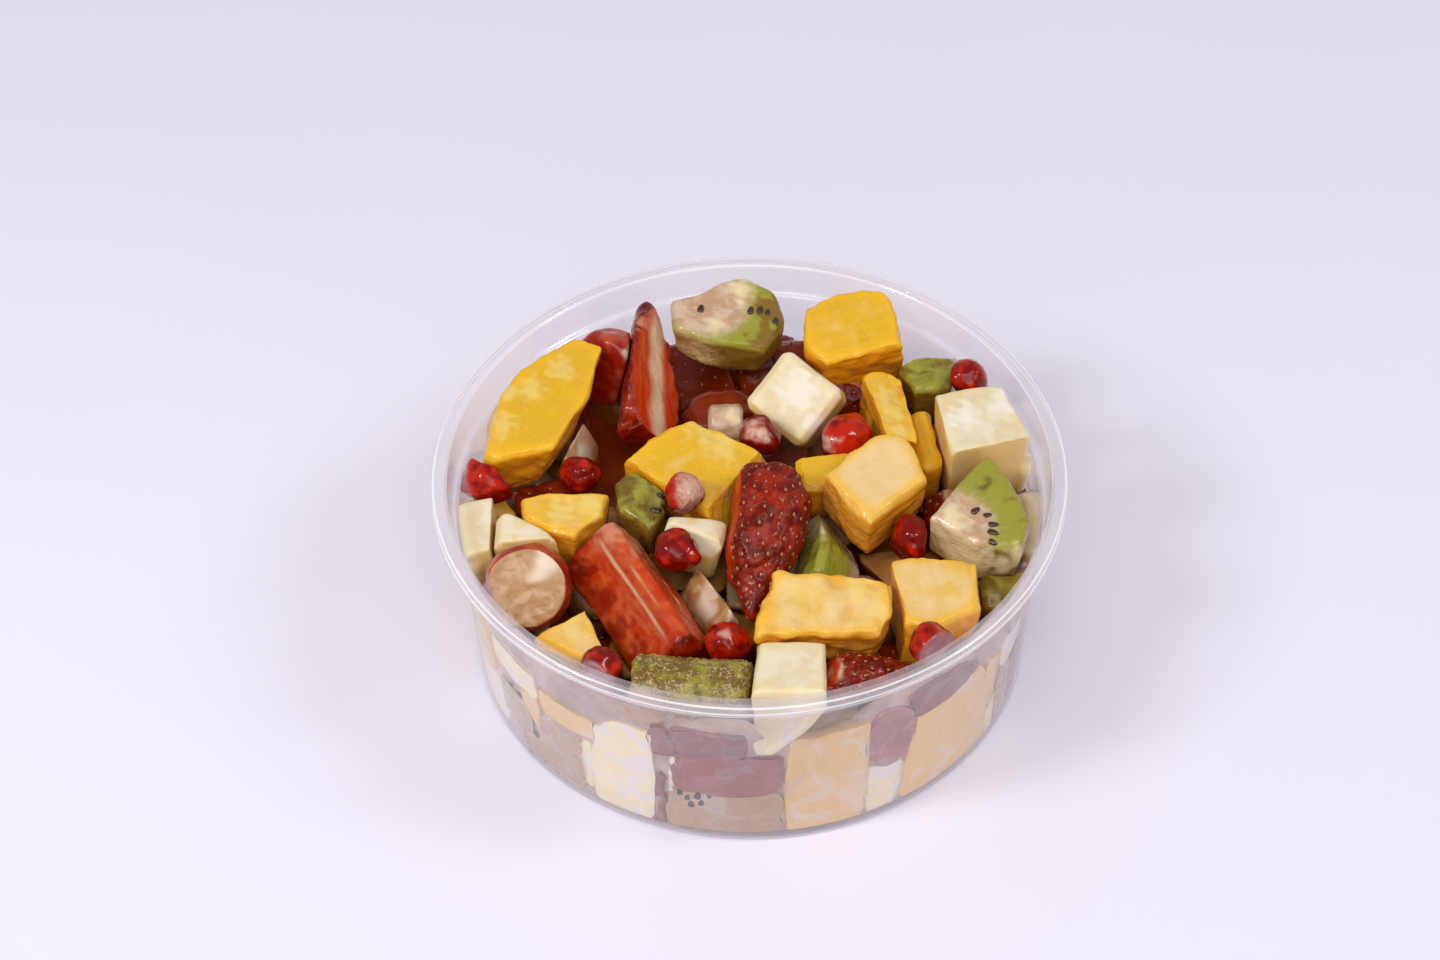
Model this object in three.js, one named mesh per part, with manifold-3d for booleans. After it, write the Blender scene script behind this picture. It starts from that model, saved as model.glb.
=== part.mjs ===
// A fruit salad in a clear, thin-walled round tub. Millimetres, +Z up, the tub's base on z = 0 and
// its axis on z. The camera side of the salad is -Y.
import * as THREE from "three";
import { ConvexGeometry } from "three/addons/geometries/ConvexGeometry.js";
import { mergeVertices } from "three/addons/utils/BufferGeometryUtils.js";
import Module from "manifold-3d";

const wasm = await Module();
wasm.setup();

// ---- driving dimensions ------------------------------------------------------------------------

const TUB_HEIGHT = 44.2;
const TUB_WALL = 0.6;
const RIM_OUTER_RADIUS = 59;
const RIM_INNER_RADIUS = 56;
const RIM_SKIRT = 2.3; // how far the rim's outer lip hangs down
const LEDGE_HEIGHT = 37.6; // the step on which a stacked tub or a lid stops
const LEDGE_WIDTH = 1.1;
const BASE_RADIUS = 53.2; // outside, where the wall leaves the base's rounding
const BASE_ROUNDING = 1.2;
const FOOT_HEIGHT = 0.5; // the base's middle is raised by this much inside a foot ring
const FOOT_WIDTH = 3.5; // the flat ring that the tub stands on
const WALL_SLOPE = 0.045; // outward run of the wall per millimetre of height

const GAP = 0.3; // clearance between neighbouring solids
const HEAP_TOP = 27; // mean height of the packed fruit below the pieces on top
const HEAP_ROUGHNESS = 1.6;
const HEAPED = 2; // how far a piece may stand above the rim

const TUB_SIDES = 56;
const HEAP_SIDES = 40;
const WALL_PLANES = 36; // flat facets that stand for the round wall where fruit is pressed on it

// ---- the fruit ---------------------------------------------------------------------------------

// Colour and roughness of each fruit's cut or skin.
const FRUIT = {
  mango: { color: 0xefbe46, roughness: 0.4 },
  pear: { color: 0xece0c0, roughness: 0.45 },
  kiwi: { color: 0x9c9438, roughness: 0.35 },
  strawberry: { color: 0xb82a12, roughness: 0.35 },
  grape: { color: 0xb07a55, roughness: 0.3 },
  aril: { color: 0x9c1e10, roughness: 0.2 },
};

// Every piece that can be told apart. `at` is its middle, `size` its length, width and height before
// it is turned, and `turn` its turns in degrees about z, then its own y, then its own x. A chunk has
// the outline of its upper face about the middle and a height in place of a size, and `lean` is how
// far its lower face lies off to the side. A piece keeps its shape against those after it in the
// list, which are pressed flat on it.
const PIECES = [
  // on top, back row
  { name: "mango_1", form: chunk, at: [-37.9, 21, 37.3], height: 11.5, turn: [0, -3, 0], lean: [-4, 0],
    outline: [[-11.5, -14.5], [-8.3, 3.5], [-5.6, 8.2], [5.2, 17.2], [11.2, 13.6], [8.5, -1], [2, -14],
      [-9.5, -16.5]] },
  { name: "mango_2", form: chunk, at: [21.1, 40, 36.6], height: 14, turn: [0, -3, 10],
    outline: [[-9.3, 5.5], [-2.5, 9], [8, 9.3], [10, -5.5], [-5.5, -9], [-9.8, -4.5]] },
  { name: "kiwi_1", form: chunk, at: [-3.3, 43.6, 39.1], height: 9.5, turn: [0, 2, 8],
    outline: [[-11.5, 3], [3, 9.5], [10, 5.5], [11.5, -2], [7, -9.5], [-4.5, -7.5], [-11, -4]] },
  // on top, middle
  { name: "pear_1", form: block, at: [9.8, 25.3, 36], size: [14.5, 14, 13],
    turn: [-36, 19, 37], ease: 0.1 },
  { name: "aril_2", form: aril, at: [18.9, 14.1, 37.2], size: [12.4, 8.4, 7.2], turn: [35, 0, 0] },
  { name: "mango_3", form: chunk, at: [23.2, -1.8, 37.4], height: 12, turn: [0, 3, 3],
    outline: [[-10, 0.5], [0, 11], [6.5, 11.5], [10, -0.5], [5, -5.5], [-1.5, -11.5], [-6, -6.5]] },
  { name: "strawberry_2", form: berry, at: [1.8, -13.5, 37], size: [32, 19, 14], turn: [-99, 22, 0],
    cuts: [[0, -1, 0.3, 6]] },
  { name: "mango_4", form: chunk, at: [-8.7, 3.6, 35.3], height: 10, turn: [0, 3, 3],
    outline: [[-15.5, 2.5], [-9, 9], [-2, 13.5], [4.5, 9], [15.5, 2], [4.5, -13.5], [-2.5, -8.5],
      [-10.5, -0.5]] },
  { name: "aril_1", form: aril, at: [2.5, 13, 38.8], size: [10, 7, 6.5], turn: [-52, 5, 0] },
  { name: "aril_3", form: aril, at: [-13.4, -16.4, 39.1], size: [10, 7.5, 6.5], turn: [-20, 0, 0] },
  { name: "aril_4", form: aril, at: [-12, -5, 42.4], size: [8.2, 7.6, 7], turn: [0, 0, 0] },
  { name: "strawberry_1", form: berry, at: [-19.3, 34.3, 37.5], size: [33, 20, 17],
    turn: [90, -15, 0], cuts: [[0, -1, 0.7, 2], [0.14, 1, 0.2, 3.9]] },
  { name: "grape_1", form: ball, at: [-26.8, 36.2, 35.8], size: [16, 15, 16.5], turn: [30, 0, 0] },
  { name: "pear_2", form: block, at: [-10.6, -10, 34.4], size: [11.5, 8, 10], turn: [-15, 11, 0] },
  { name: "kiwi_2", form: chunk, at: [-20.4, -2.3, 33.9], height: 11, turn: [0, 0, 6],
    outline: [[-5, 4], [-3, 6.5], [1.5, 7.5], [5, 4], [5, -3.5], [2, -7.5], [-4, -2.5]] },
  { name: "kiwi_3", form: wedge, at: [15, -12.5, 35], size: [19, 14, 11], turn: [78, -4, 0] },
  { name: "mango_5", form: block, at: [14.5, 5, 33.5], size: [12, 10, 10], turn: [4, 0, 0] },
  // on top, right
  { name: "mango_7", form: block, at: [33.7, 13.5, 32], size: [4.6, 16, 11], turn: [6, 0, 0],
    ease: 0.25 },
  { name: "kiwi_4", form: chunk, at: [41.9, -6.9, 36.3], height: 12, turn: [0, 4, 4],
    outline: [[2.5, 12], [6.5, 5], [9.5, -5.5], [7, -12], [-1.5, -11.5], [-9.5, -4.5], [-4.5, 3]] },
  { name: "pear_3", form: chunk, at: [42.8, 11, 35.5], height: 16, turn: [0, 3, 0],
    outline: [[-10.5, 7], [2.5, 11], [6, 10.5], [10.5, -3.5], [9.5, -7], [-4, -11], [-9, 0.5]] },
  { name: "mango_6", form: chunk, at: [26.5, 18.7, 34.2], height: 12, turn: [0, 6, -2],
    outline: [[-5.5, 8], [-3, 11], [0.5, 11.5], [4, 8.5], [5.5, -6], [5, -11.5], [-1.5, -9.5]] },
  { name: "kiwi_5", form: chunk, at: [35.4, 30.1, 33.5], height: 10, turn: [0, 0, 0],
    outline: [[-6, 2], [-3, 5], [5.5, 5], [6, 1], [4.5, -4], [-3, -5]] },
  { name: "aril_5", form: aril, at: [42.8, 27.6, 39.2], size: [9, 7, 7], turn: [70, 0, 0] },
  { name: "aril_6", form: aril, at: [29.9, -11.3, 35.6], size: [9.2, 9, 8.2], turn: [20, 0, 0] },
  { name: "aril_7", form: aril, at: [34.6, -8, 33], size: [8.6, 7, 7], turn: [90, 0, 0] },
  // on top, front
  { name: "aril_8", form: aril, at: [31.5, -42, 41.4], size: [9, 7, 6.6], turn: [15, 0, 0] },
  { name: "mango_8", form: chunk, at: [12.7, -31.9, 37.1], height: 10.5, turn: [0, 2, 9],
    outline: [[-12.5, -1], [-9.5, 7], [3, 7], [12.5, 5], [12.5, -2], [9.5, -6.5], [-12.5, -7]] },
  { name: "mango_9", form: chunk, at: [31.4, -30.1, 35], height: 13, turn: [0, 6, 0],
    outline: [[-9.5, 7], [-4.5, 9.5], [9.5, 9], [9, -2.5], [-1, -9.5], [-8, -6]] },
  { name: "pear_4", form: chunk, at: [6.3, -45.7, 32.5], height: 16, turn: [0, -2, -4],
    outline: [[-5.5, 6], [-4.5, 7], [7, 5.5], [6.5, -7.5], [-7, -7]], cuts: [[0.73, 0, -0.69, 2.2]] },
  { name: "kiwi_6", form: slice, at: [-11.2, -45.5, 35.2], size: [22, 11.5, 9], turn: [-6, 0, 0] },
  { name: "strawberry_3", form: wedge, at: [-20.3, -24.3, 35.6], size: [32, 18, 12], turn: [-61, 6, 0] },
  { name: "aril_9", form: aril, at: [-4.6, -34.6, 33.8], size: [10, 8, 7], turn: [0, 0, 0] },
  { name: "grape_2", form: wedge, at: [-8.4, -24, 33.5], size: [13, 10, 9], turn: [-60, 0, 0] },
  { name: "strawberry_4", form: berry, at: [20, -43, 34], size: [19, 11, 10], turn: [12, 0, 0] },
  { name: "mango_10", form: chunk, at: [-30.5, -34.7, 31.5], height: 12, turn: [0, -4, 0],
    outline: [[-8.5, 0.5], [-2, 5], [3, 8.5], [8.5, -7], [4.5, -8.5]] },
  { name: "aril_10", form: aril, at: [-27, -43.5, 38.2], size: [8.6, 7, 7], turn: [0, 0, 0] },
  // on top, left
  { name: "grape_3", form: ball, at: [-40.8, -21.6, 35.8], size: [17, 17, 17], turn: [0, 0, 45],
    cuts: [[0, 0, 1, 4]] },
  { name: "aril_11", form: aril, at: [-48.1, 5, 37.4], size: [12.8, 10, 8.6], turn: [-20, 0, 0] },
  { name: "aril_12", form: aril, at: [-31.7, 6.6, 35.6], size: [8.6, 7, 7], turn: [20, 0, 0] },
  { name: "mango_11", form: chunk, at: [-34.3, -6.2, 33.8], height: 11, turn: [0, 0, 0],
    outline: [[-8.5, 4.5], [-3, 6], [8.5, 5], [7.5, -0.5], [2, -6], [-3.5, -4], [-8, -0.5]] },
  { name: "pear_5", form: block, at: [-41, -10.8, 32.6], size: [12, 14, 13], turn: [0, -6, 0] },
  { name: "pear_6", form: block, at: [-48.5, -6.5, 31], size: [10, 17, 14], turn: [10, 0, 0] },
  { name: "grape_4", form: wedge, at: [-33, 16.5, 32.5], size: [11, 8, 9], turn: [70, 0, 0] },
  // lower pieces that show in the gaps
  { name: "grape_5", form: ball, at: [-5, 31, 25.5], size: [18, 14, 11], turn: [20, 0, 0] },
  { name: "kiwi_7", form: slice, at: [-4, 23.5, 32], size: [7, 8, 8], turn: [0, 0, 20] },
  { name: "strawberry_5", form: berry, at: [22, 31, 29.5], size: [18, 12, 11], turn: [-10, 0, 0] },
  { name: "strawberry_6", form: berry, at: [38.5, 4, 29.5], size: [15, 11, 10], turn: [60, 0, 0] },
  { name: "kiwi_8", form: slice, at: [46.5, -20.5, 29], size: [9, 10, 9], turn: [0, 0, 0] },
  // low down, seen through the front wall
  { name: "grape_6", form: ball, at: [23.8, -46.2, 22.5], size: [17, 9, 7.5], turn: [-63, 84, 0] },
  { name: "strawberry_7", form: block, at: [-4.6, -47.2, 20.5], size: [19, 13, 14],
    turn: [-5, 0, 0], ease: 0.12 },
  { name: "kiwi_9", form: slice, at: [-5.5, -47, 7.6], size: [20, 14, 13.5], turn: [-7, 0, 0] },
  { name: "pear_7", form: block, at: [-19.1, -43.2, 14.8], size: [17.2, 13, 27.5], turn: [-24, 2, 0] },
  { name: "mango_12", form: block, at: [12.7, -45.6, 15.3], size: [17.5, 13, 29], turn: [15, 0, 0] },
  { name: "mango_13", form: block, at: [31.2, -35.4, 13], size: [22, 14, 24], turn: [42, -5, 0] },
  { name: "strawberry_8", form: berry, at: [33.8, -36.8, 27.8], size: [25, 11, 9], turn: [45, 4, 0] },
  { name: "kiwi_10", form: slice, at: [-32.5, -35.5, 10.5], size: [10, 11, 17], turn: [-42, 0, 0] },
  { name: "mango_14", form: block, at: [-31, -37.5, 23.5], size: [13, 10, 8], turn: [-40, 0, 0] },
  { name: "pear_8", form: block, at: [-40.5, -28, 26], size: [13, 10, 10], turn: [-56, 0, 0] },
];

// ---- solids ------------------------------------------------------------------------------------

/** The closed solid of a three.js geometry, with its shared corners merged. */
function solidOf(geometry) {
  const bare = geometry.clone();
  bare.deleteAttribute("normal");
  bare.deleteAttribute("uv");
  const merged = mergeVertices(bare, 1e-4);
  const triangles = [];
  for (let i = 0; i < merged.index.count; i += 3) {
    const [a, b, c] = [0, 1, 2].map((k) => merged.index.getX(i + k));
    if (a !== b && b !== c && c !== a) triangles.push(a, b, c);
  }
  return new wasm.Manifold(
    new wasm.Mesh({
      numProp: 3,
      vertProperties: new Float32Array(merged.attributes.position.array),
      triVerts: new Uint32Array(triangles),
    }),
  );
}

/** The three.js geometry of a solid, moved by a matrix. */
function geometryOf(solid, matrix = new THREE.Matrix4()) {
  const mesh = solid.getMesh();
  const geometry = new THREE.BufferGeometry();
  geometry.setAttribute("position", new THREE.BufferAttribute(mesh.vertProperties, 3));
  geometry.setIndex(new THREE.BufferAttribute(mesh.triVerts, 1));
  geometry.applyMatrix4(matrix);
  return geometry;
}

/** A solid's corners as vectors. */
function cornersOf(solid) {
  const flat = solid.getMesh().vertProperties;
  return Array.from({ length: flat.length / 3 }, (_, i) => new THREE.Vector3().fromArray(flat, 3 * i));
}

/** The outward directions of a solid's flat faces, each once. */
function facesOf(solid) {
  const { vertProperties, triVerts } = solid.getMesh();
  const corner = (i) => new THREE.Vector3().fromArray(vertProperties, 3 * triVerts[i]);
  const faces = [];
  for (let i = 0; i < triVerts.length; i += 3) {
    const triangle = new THREE.Triangle(corner(i), corner(i + 1), corner(i + 2));
    const normal = triangle.getNormal(new THREE.Vector3());
    const known = faces.some((face) => face.dot(normal) > 0.9999);
    if (normal.lengthSq() > 0.5 && !known) faces.push(normal);
  }
  return faces;
}

/** The part of a solid that lies behind a plane, as a knife leaves it. */
function cutBehind(solid, normal, offset) {
  return solid.trimByPlane([-normal.x, -normal.y, -normal.z], -offset);
}

/** How far a set of corners reaches along a direction. */
function reach(corners, direction) {
  return Math.max(...corners.map((corner) => corner.dot(direction)));
}

// ---- forms of fruit ----------------------------------------------------------------------------

/** A cube or bar with eased edges; a taper widens it towards +x. */
function block({ size: [length, width, height], taper = 0, ease = 0.14 }) {
  const e = ease * Math.min(length, width, height);
  const points = [];
  for (const sx of [-1, 1])
    for (const sy of [-1, 1])
      for (const sz of [-1, 1]) {
        const corner = [(sx * length) / 2, ((sy * width) / 2) * (1 + sx * taper), (sz * height) / 2];
        for (const kept of [0, 1, 2]) {
          const eased = corner.map((c, axis) => (axis === kept ? c : c - Math.sign(c) * e));
          points.push(new THREE.Vector3(...eased));
        }
      }
  return points;
}

/** A hand-cut chunk: an outline above, the same a little smaller below, and eased edges. */
function chunk({ outline, height, lean = [0, 0] }) {
  const ease = 0.9;
  const foot = 0.92;
  const points = [];
  for (const [x, y] of outline) {
    const inset = 1 - ease / Math.hypot(x, y);
    const corner = (scale, z) => {
      const below = 0.5 - z / height;
      return new THREE.Vector3(x * scale + lean[0] * below, y * scale + lean[1] * below, z);
    };
    points.push(corner(inset, height / 2), corner(1, height / 2 - ease));
    points.push(corner(foot, ease - height / 2), corner(foot * inset, -height / 2));
  }
  return points;
}

/** Points of a flat outline in y and z, carried along x with a rounded edge at both ends. */
function bar(outline, length, roundness) {
  const points = [];
  for (const [x, scale] of [
    [-length / 2, 1 - roundness],
    [-length / 2 + roundness * 4, 1],
    [length / 2 - roundness * 4, 1],
    [length / 2, 1 - roundness],
  ])
    for (const [y, z] of outline) points.push(new THREE.Vector3(x, y * scale, z * scale));
  return points;
}

/** A three-sided bar with its blunt ridge up, as a wedge is cut from a round fruit. */
function wedge({ size: [length, width, height] }) {
  const blunt = 0.12;
  const outline = [];
  const corners = [[-0.5, -0.5], [0.5, -0.5], [0.08, 0.5]];
  corners.forEach(([y, z], i) => {
    for (const step of [1, 2]) {
      const [ny, nz] = corners[(i + step) % 3];
      outline.push([(y + (ny - y) * blunt) * width, (z + (nz - z) * blunt) * height]);
    }
  });
  return bar(outline, length, 0.2);
}

/** A thick round-backed slice: flat below, arched above. */
function slice({ size: [length, width, height] }) {
  const steps = 6;
  const outline = [[-0.42 * width, -height / 2], [0.42 * width, -height / 2]];
  for (let i = 0; i <= steps; i++) {
    const angle = (Math.PI * i) / steps;
    outline.push([(Math.cos(angle) * width) / 2, (Math.sin(angle) ** 0.7 - 0.28) * 0.69 * height]);
  }
  return bar(outline, length, 0.2);
}

/** Rings of points about x, whose radius at each place along the length is a fraction of the full one. */
function rings({ size: [length, width, height] }, radius, sides, steps) {
  const points = [];
  for (let i = 0; i <= steps; i++) {
    const along = -Math.cos((Math.PI * i) / steps);
    for (let j = 0; j < sides; j++) {
      const angle = (2 * Math.PI * (j + (i % 2) / 2)) / sides;
      const y = (Math.cos(angle) * radius(along) * width) / 2;
      const z = (Math.sin(angle) * radius(along) * height) / 2;
      points.push(new THREE.Vector3((along * length) / 2, y, z));
    }
  }
  return points;
}

/** A grape's egg shape. */
function ball(piece) {
  return rings(piece, (along) => Math.sqrt(Math.max(0, 1 - along * along)) + 0.02, 9, 7);
}

/** A strawberry's body: blunt at the stalk end, narrowing to a rounded tip at +x. */
function berry(piece) {
  const shoulder = -0.35;
  const radius = (along) => {
    if (along < shoulder) return 1 - 0.45 * ((shoulder - along) / (1 + shoulder)) ** 2.5;
    return 1 - 0.88 * ((along - shoulder) / (1 - shoulder)) ** 1.6;
  };
  return rings(piece, radius, 8, 6);
}

/** A pomegranate aril: a six-sided grain, fuller at one end. */
function aril(piece) {
  return rings(piece, (along) => (1 - 0.16 * along) * (1 - Math.abs(along) ** 3) + 0.22, 6, 5);
}

// ---- placing and pressing ----------------------------------------------------------------------

/** The matrix that puts a piece in its place. */
function placeOf({ at, turn: [aboutZ, aboutY, aboutX] }) {
  const euler = new THREE.Euler(...[aboutX, aboutY, aboutZ].map(THREE.MathUtils.degToRad), "ZYX");
  const quaternion = new THREE.Quaternion().setFromEuler(euler);
  return new THREE.Matrix4().compose(new THREE.Vector3(...at), quaternion, new THREE.Vector3(1, 1, 1));
}

/** The inside radius of the tub's wall at a height, below the ledge. */
function insideRadius(z) {
  return BASE_RADIUS + (z - BASE_ROUNDING) * WALL_SLOPE - TUB_WALL;
}

/** A piece kept inside the tub: flattened on the wall, the rounded corner, the floor and above. */
function keepInTub(solid) {
  const lean = Math.atan(WALL_SLOPE);
  const cornerReach = (BASE_RADIUS - 2 * BASE_ROUNDING) * Math.SQRT1_2 + BASE_ROUNDING - TUB_WALL;
  const planes = [];
  for (let i = 0; i < WALL_PLANES; i++) {
    const angle = (2 * Math.PI * i) / WALL_PLANES;
    const facing = (rise) => new THREE.Vector3(Math.cos(angle), Math.sin(angle), rise).normalize();
    planes.push([facing(-WALL_SLOPE), (insideRadius(0) - 2 * GAP) * Math.cos(lean)]);
    planes.push([facing(-1), cornerReach - 2 * GAP]);
  }
  planes.push([new THREE.Vector3(0, 0, -1), -(FOOT_HEIGHT + TUB_WALL + GAP)]);
  planes.push([new THREE.Vector3(0, 0, 1), TUB_HEIGHT + HEAPED]);
  let kept = solid;
  for (const [normal, offset] of planes)
    if (reach(cornersOf(kept), normal) > offset) kept = cutBehind(kept, normal, offset);
  return kept;
}

/** A soft piece pressed flat on a firm one, on the face that costs it least. */
function press(soft, firm) {
  const softCorners = cornersOf(soft);
  const firmCorners = cornersOf(firm);
  let best = { depth: Infinity };
  for (const direction of [...facesOf(firm), ...facesOf(soft).map((face) => face.negate())]) {
    const level = reach(firmCorners, direction);
    const depth = level + GAP + reach(softCorners, direction.clone().negate());
    if (depth < best.depth) best = { depth, level, direction };
  }
  if (best.depth <= 0) return soft;
  return cutBehind(soft, best.direction.clone().negate(), -(best.level + GAP));
}

/** A piece slightly enlarged about its middle, which leaves the gap when it is cut from the heap. */
function enlarged(solid, piece) {
  const place = placeOf(piece);
  const back = place.clone().invert();
  const corners = cornersOf(solid).map((corner) => corner.applyMatrix4(back));
  const total = corners.reduce((sum, corner) => sum.add(corner), new THREE.Vector3());
  const middle = total.divideScalar(corners.length);
  const size = new THREE.Box3().setFromPoints(corners).getSize(new THREE.Vector3());
  const growth = size.toArray().map((length) => (length + 4 * GAP) / length);
  const grow = place
    .clone()
    .multiply(new THREE.Matrix4().makeTranslation(middle))
    .multiply(new THREE.Matrix4().makeScale(...growth))
    .multiply(new THREE.Matrix4().makeTranslation(middle.clone().negate()))
    .multiply(back);
  return solid.transform(grow.elements);
}

/** Every piece as a solid in its place, each pressed on the ones before it. */
function makePieces() {
  const placed = [];
  for (const piece of PIECES) {
    let solid = solidOf(new ConvexGeometry(piece.form(piece)));
    for (const [x, y, z, offset] of piece.cuts ?? [])
      solid = cutBehind(solid, new THREE.Vector3(x, y, z).normalize(), offset);
    solid = keepInTub(solid.transform(placeOf(piece).elements));
    for (const { solid: firm } of placed) solid = press(solid, firm);
    placed.push({ piece, solid });
  }
  return placed;
}

// ---- tub and heap ------------------------------------------------------------------------------

/** A closed profile of [radius, height] points turned about z. */
function lathe(profile, sides) {
  const geometry = new THREE.LatheGeometry(profile.map(([r, z]) => new THREE.Vector2(r, z)), sides);
  return geometry.rotateX(Math.PI / 2);
}

/** The tub: base with a foot ring, rounded corner, sloped wall, ledge and lipped rim, as one shell. */
function makeTub() {
  const outsideRadius = (z) => insideRadius(z) + TUB_WALL;
  const lipRadius = RIM_OUTER_RADIUS - TUB_WALL;
  const collar = RIM_INNER_RADIUS + TUB_WALL;
  const footRadius = BASE_RADIUS - BASE_ROUNDING - FOOT_WIDTH;
  const outside = [[0, FOOT_HEIGHT], [footRadius - FOOT_HEIGHT, FOOT_HEIGHT], [footRadius, 0]];
  const inside = [];
  const roundingSteps = 3;
  for (let i = 0; i <= roundingSteps; i++) {
    const angle = (Math.PI / 2) * (i / roundingSteps);
    const centre = [BASE_RADIUS - BASE_ROUNDING, BASE_ROUNDING];
    const arc = (radius) => [centre[0] + radius * Math.sin(angle), centre[1] - radius * Math.cos(angle)];
    outside.push(arc(BASE_ROUNDING));
    inside.push(arc(BASE_ROUNDING - TUB_WALL));
  }
  outside.push(
    [outsideRadius(LEDGE_HEIGHT - TUB_WALL), LEDGE_HEIGHT - TUB_WALL],
    [outsideRadius(LEDGE_HEIGHT) + LEDGE_WIDTH, LEDGE_HEIGHT],
    [collar, TUB_HEIGHT - RIM_SKIRT / 2],
    [lipRadius, TUB_HEIGHT - RIM_SKIRT / 2],
    [lipRadius, TUB_HEIGHT - RIM_SKIRT],
    [RIM_OUTER_RADIUS, TUB_HEIGHT - RIM_SKIRT],
    [RIM_OUTER_RADIUS, TUB_HEIGHT - TUB_WALL],
    [lipRadius, TUB_HEIGHT],
    [RIM_INNER_RADIUS + TUB_WALL / 2, TUB_HEIGHT],
  );
  inside.push(
    [insideRadius(LEDGE_HEIGHT), LEDGE_HEIGHT],
    [insideRadius(LEDGE_HEIGHT) + LEDGE_WIDTH, LEDGE_HEIGHT + TUB_WALL / 2],
    [RIM_INNER_RADIUS, TUB_HEIGHT - TUB_WALL / 2],
  );
  const floor = [[0, FOOT_HEIGHT + TUB_WALL], [footRadius - FOOT_HEIGHT, FOOT_HEIGHT + TUB_WALL]];
  return lathe([...outside, ...[...floor, ...inside].reverse()], TUB_SIDES);
}

/** The packed fruit below: it fills the tub to an uneven top, cut round the pieces set in it. */
function makeHeap(placed) {
  const floor = FOOT_HEIGHT + TUB_WALL + GAP;
  const profile = [[0, floor], [insideRadius(BASE_ROUNDING) - BASE_ROUNDING, floor]];
  for (const z of [BASE_ROUNDING + 1, HEAP_TOP]) profile.push([insideRadius(z) - 1.5 * GAP, z]);
  for (const share of [0.8, 0.55, 0.3]) profile.push([insideRadius(HEAP_TOP) * share, HEAP_TOP]);
  profile.push([0, HEAP_TOP]);
  const geometry = lathe(profile, HEAP_SIDES);
  const position = geometry.attributes.position;
  for (let i = 0; i < position.count; i++) {
    const [x, y, z] = [position.getX(i), position.getY(i), position.getZ(i)];
    const lift = Math.sin(x / 7) * Math.cos(y / 6) + 0.6 * Math.sin((x + y) / 4);
    if (z > HEAP_TOP - 1) position.setZ(i, z + HEAP_ROUGHNESS * lift);
  }
  let heap = solidOf(geometry);
  for (const { piece, solid } of placed) heap = heap.subtract(enlarged(solid, piece));
  return heap.decompose().reduce((most, part) => (part.volume() > most.volume() ? part : most));
}

// ---- the salad ---------------------------------------------------------------------------------

/** A named mesh with its own material. */
function namedMesh(name, geometry, look) {
  const mesh = new THREE.Mesh(geometry, new THREE.MeshStandardMaterial(look));
  mesh.name = name;
  return mesh;
}

const salad = new THREE.Group();
const placed = makePieces();
const clear = { color: 0xe9e6f0, roughness: 0.15, metalness: 0, transparent: true, opacity: 0.35 };
salad.add(namedMesh("tub", makeTub(), clear));
const soaked = { color: 0xb98a4a, roughness: 0.5, metalness: 0 };
salad.add(namedMesh("heap", geometryOf(makeHeap(placed)), soaked));
for (const { piece, solid } of placed) {
  const place = placeOf(piece);
  const look = { ...FRUIT[piece.name.split("_")[0]], metalness: 0 };
  const mesh = namedMesh(piece.name, geometryOf(solid, place.clone().invert()), look);
  mesh.applyMatrix4(place);
  salad.add(mesh);
}

export default salad;
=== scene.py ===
"""A fruit salad in a clear round tub.

Each piece of fruit is a rounded, textured surface worked out from the flat faces of its node. The packed
fruit below is many such pieces pressed on each other and on the wall, and the tub is one thin turned shell
of hazy plastic. Arrays hold millimetres until make_piece turns them into a mesh in metres.
"""

import functools
import math
from collections import namedtuple

import bpy
import numpy as np
from mathutils import Matrix, Vector


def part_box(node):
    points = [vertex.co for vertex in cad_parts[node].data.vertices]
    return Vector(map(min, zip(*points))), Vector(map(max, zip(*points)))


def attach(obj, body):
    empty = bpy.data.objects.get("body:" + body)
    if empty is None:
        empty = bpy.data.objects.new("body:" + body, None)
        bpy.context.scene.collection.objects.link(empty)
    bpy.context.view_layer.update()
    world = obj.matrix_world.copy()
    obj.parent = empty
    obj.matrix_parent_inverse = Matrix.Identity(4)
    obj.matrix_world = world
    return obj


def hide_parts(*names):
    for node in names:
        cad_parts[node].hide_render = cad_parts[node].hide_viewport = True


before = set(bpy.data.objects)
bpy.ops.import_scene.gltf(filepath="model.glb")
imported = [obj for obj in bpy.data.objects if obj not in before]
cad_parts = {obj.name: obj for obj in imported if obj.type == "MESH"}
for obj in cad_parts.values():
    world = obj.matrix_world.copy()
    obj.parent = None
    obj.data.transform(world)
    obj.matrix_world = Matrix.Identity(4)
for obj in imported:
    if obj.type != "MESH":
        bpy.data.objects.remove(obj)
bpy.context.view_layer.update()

MM = 0.001

# ---- the view

PICTURE = (1440, 960)  # pixels
LENS, SENSOR = 75.0, 36.0
CAMERA_AT = np.array([-5.42, -390.7, 439.8])
CAMERA_DOWN = 0.79624  # radians below the horizon
CAMERA_ROLL = -0.02088

# ---- the tub's sizes, in the frame's own box

TUB_LOW, TUB_HIGH = (np.array(corner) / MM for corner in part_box("tub"))
TUB_HEIGHT = TUB_HIGH[2]
RIM_RADIUS = (TUB_HIGH[0] - TUB_LOW[0]) / 2
RIM_WIDTH = 3.0
RIM_SKIRT = 2.3
WALL = 0.6
WALL_SLOPE = 0.045
BASE_RADIUS = RIM_RADIUS - 5.8
BASE_ROUNDING = 1.2
FOOT_HEIGHT = 0.5
FOOT_WIDTH = 3.5
LEDGE_HEIGHT = 37.6
LEDGE_WIDTH = 1.1
FLOOR = FOOT_HEIGHT + WALL


def inside_radius(z):
    """The wall's inside radius at a height, below the ledge."""
    return BASE_RADIUS + (z - BASE_ROUNDING) * WALL_SLOPE - WALL


# ---- small tools

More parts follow.
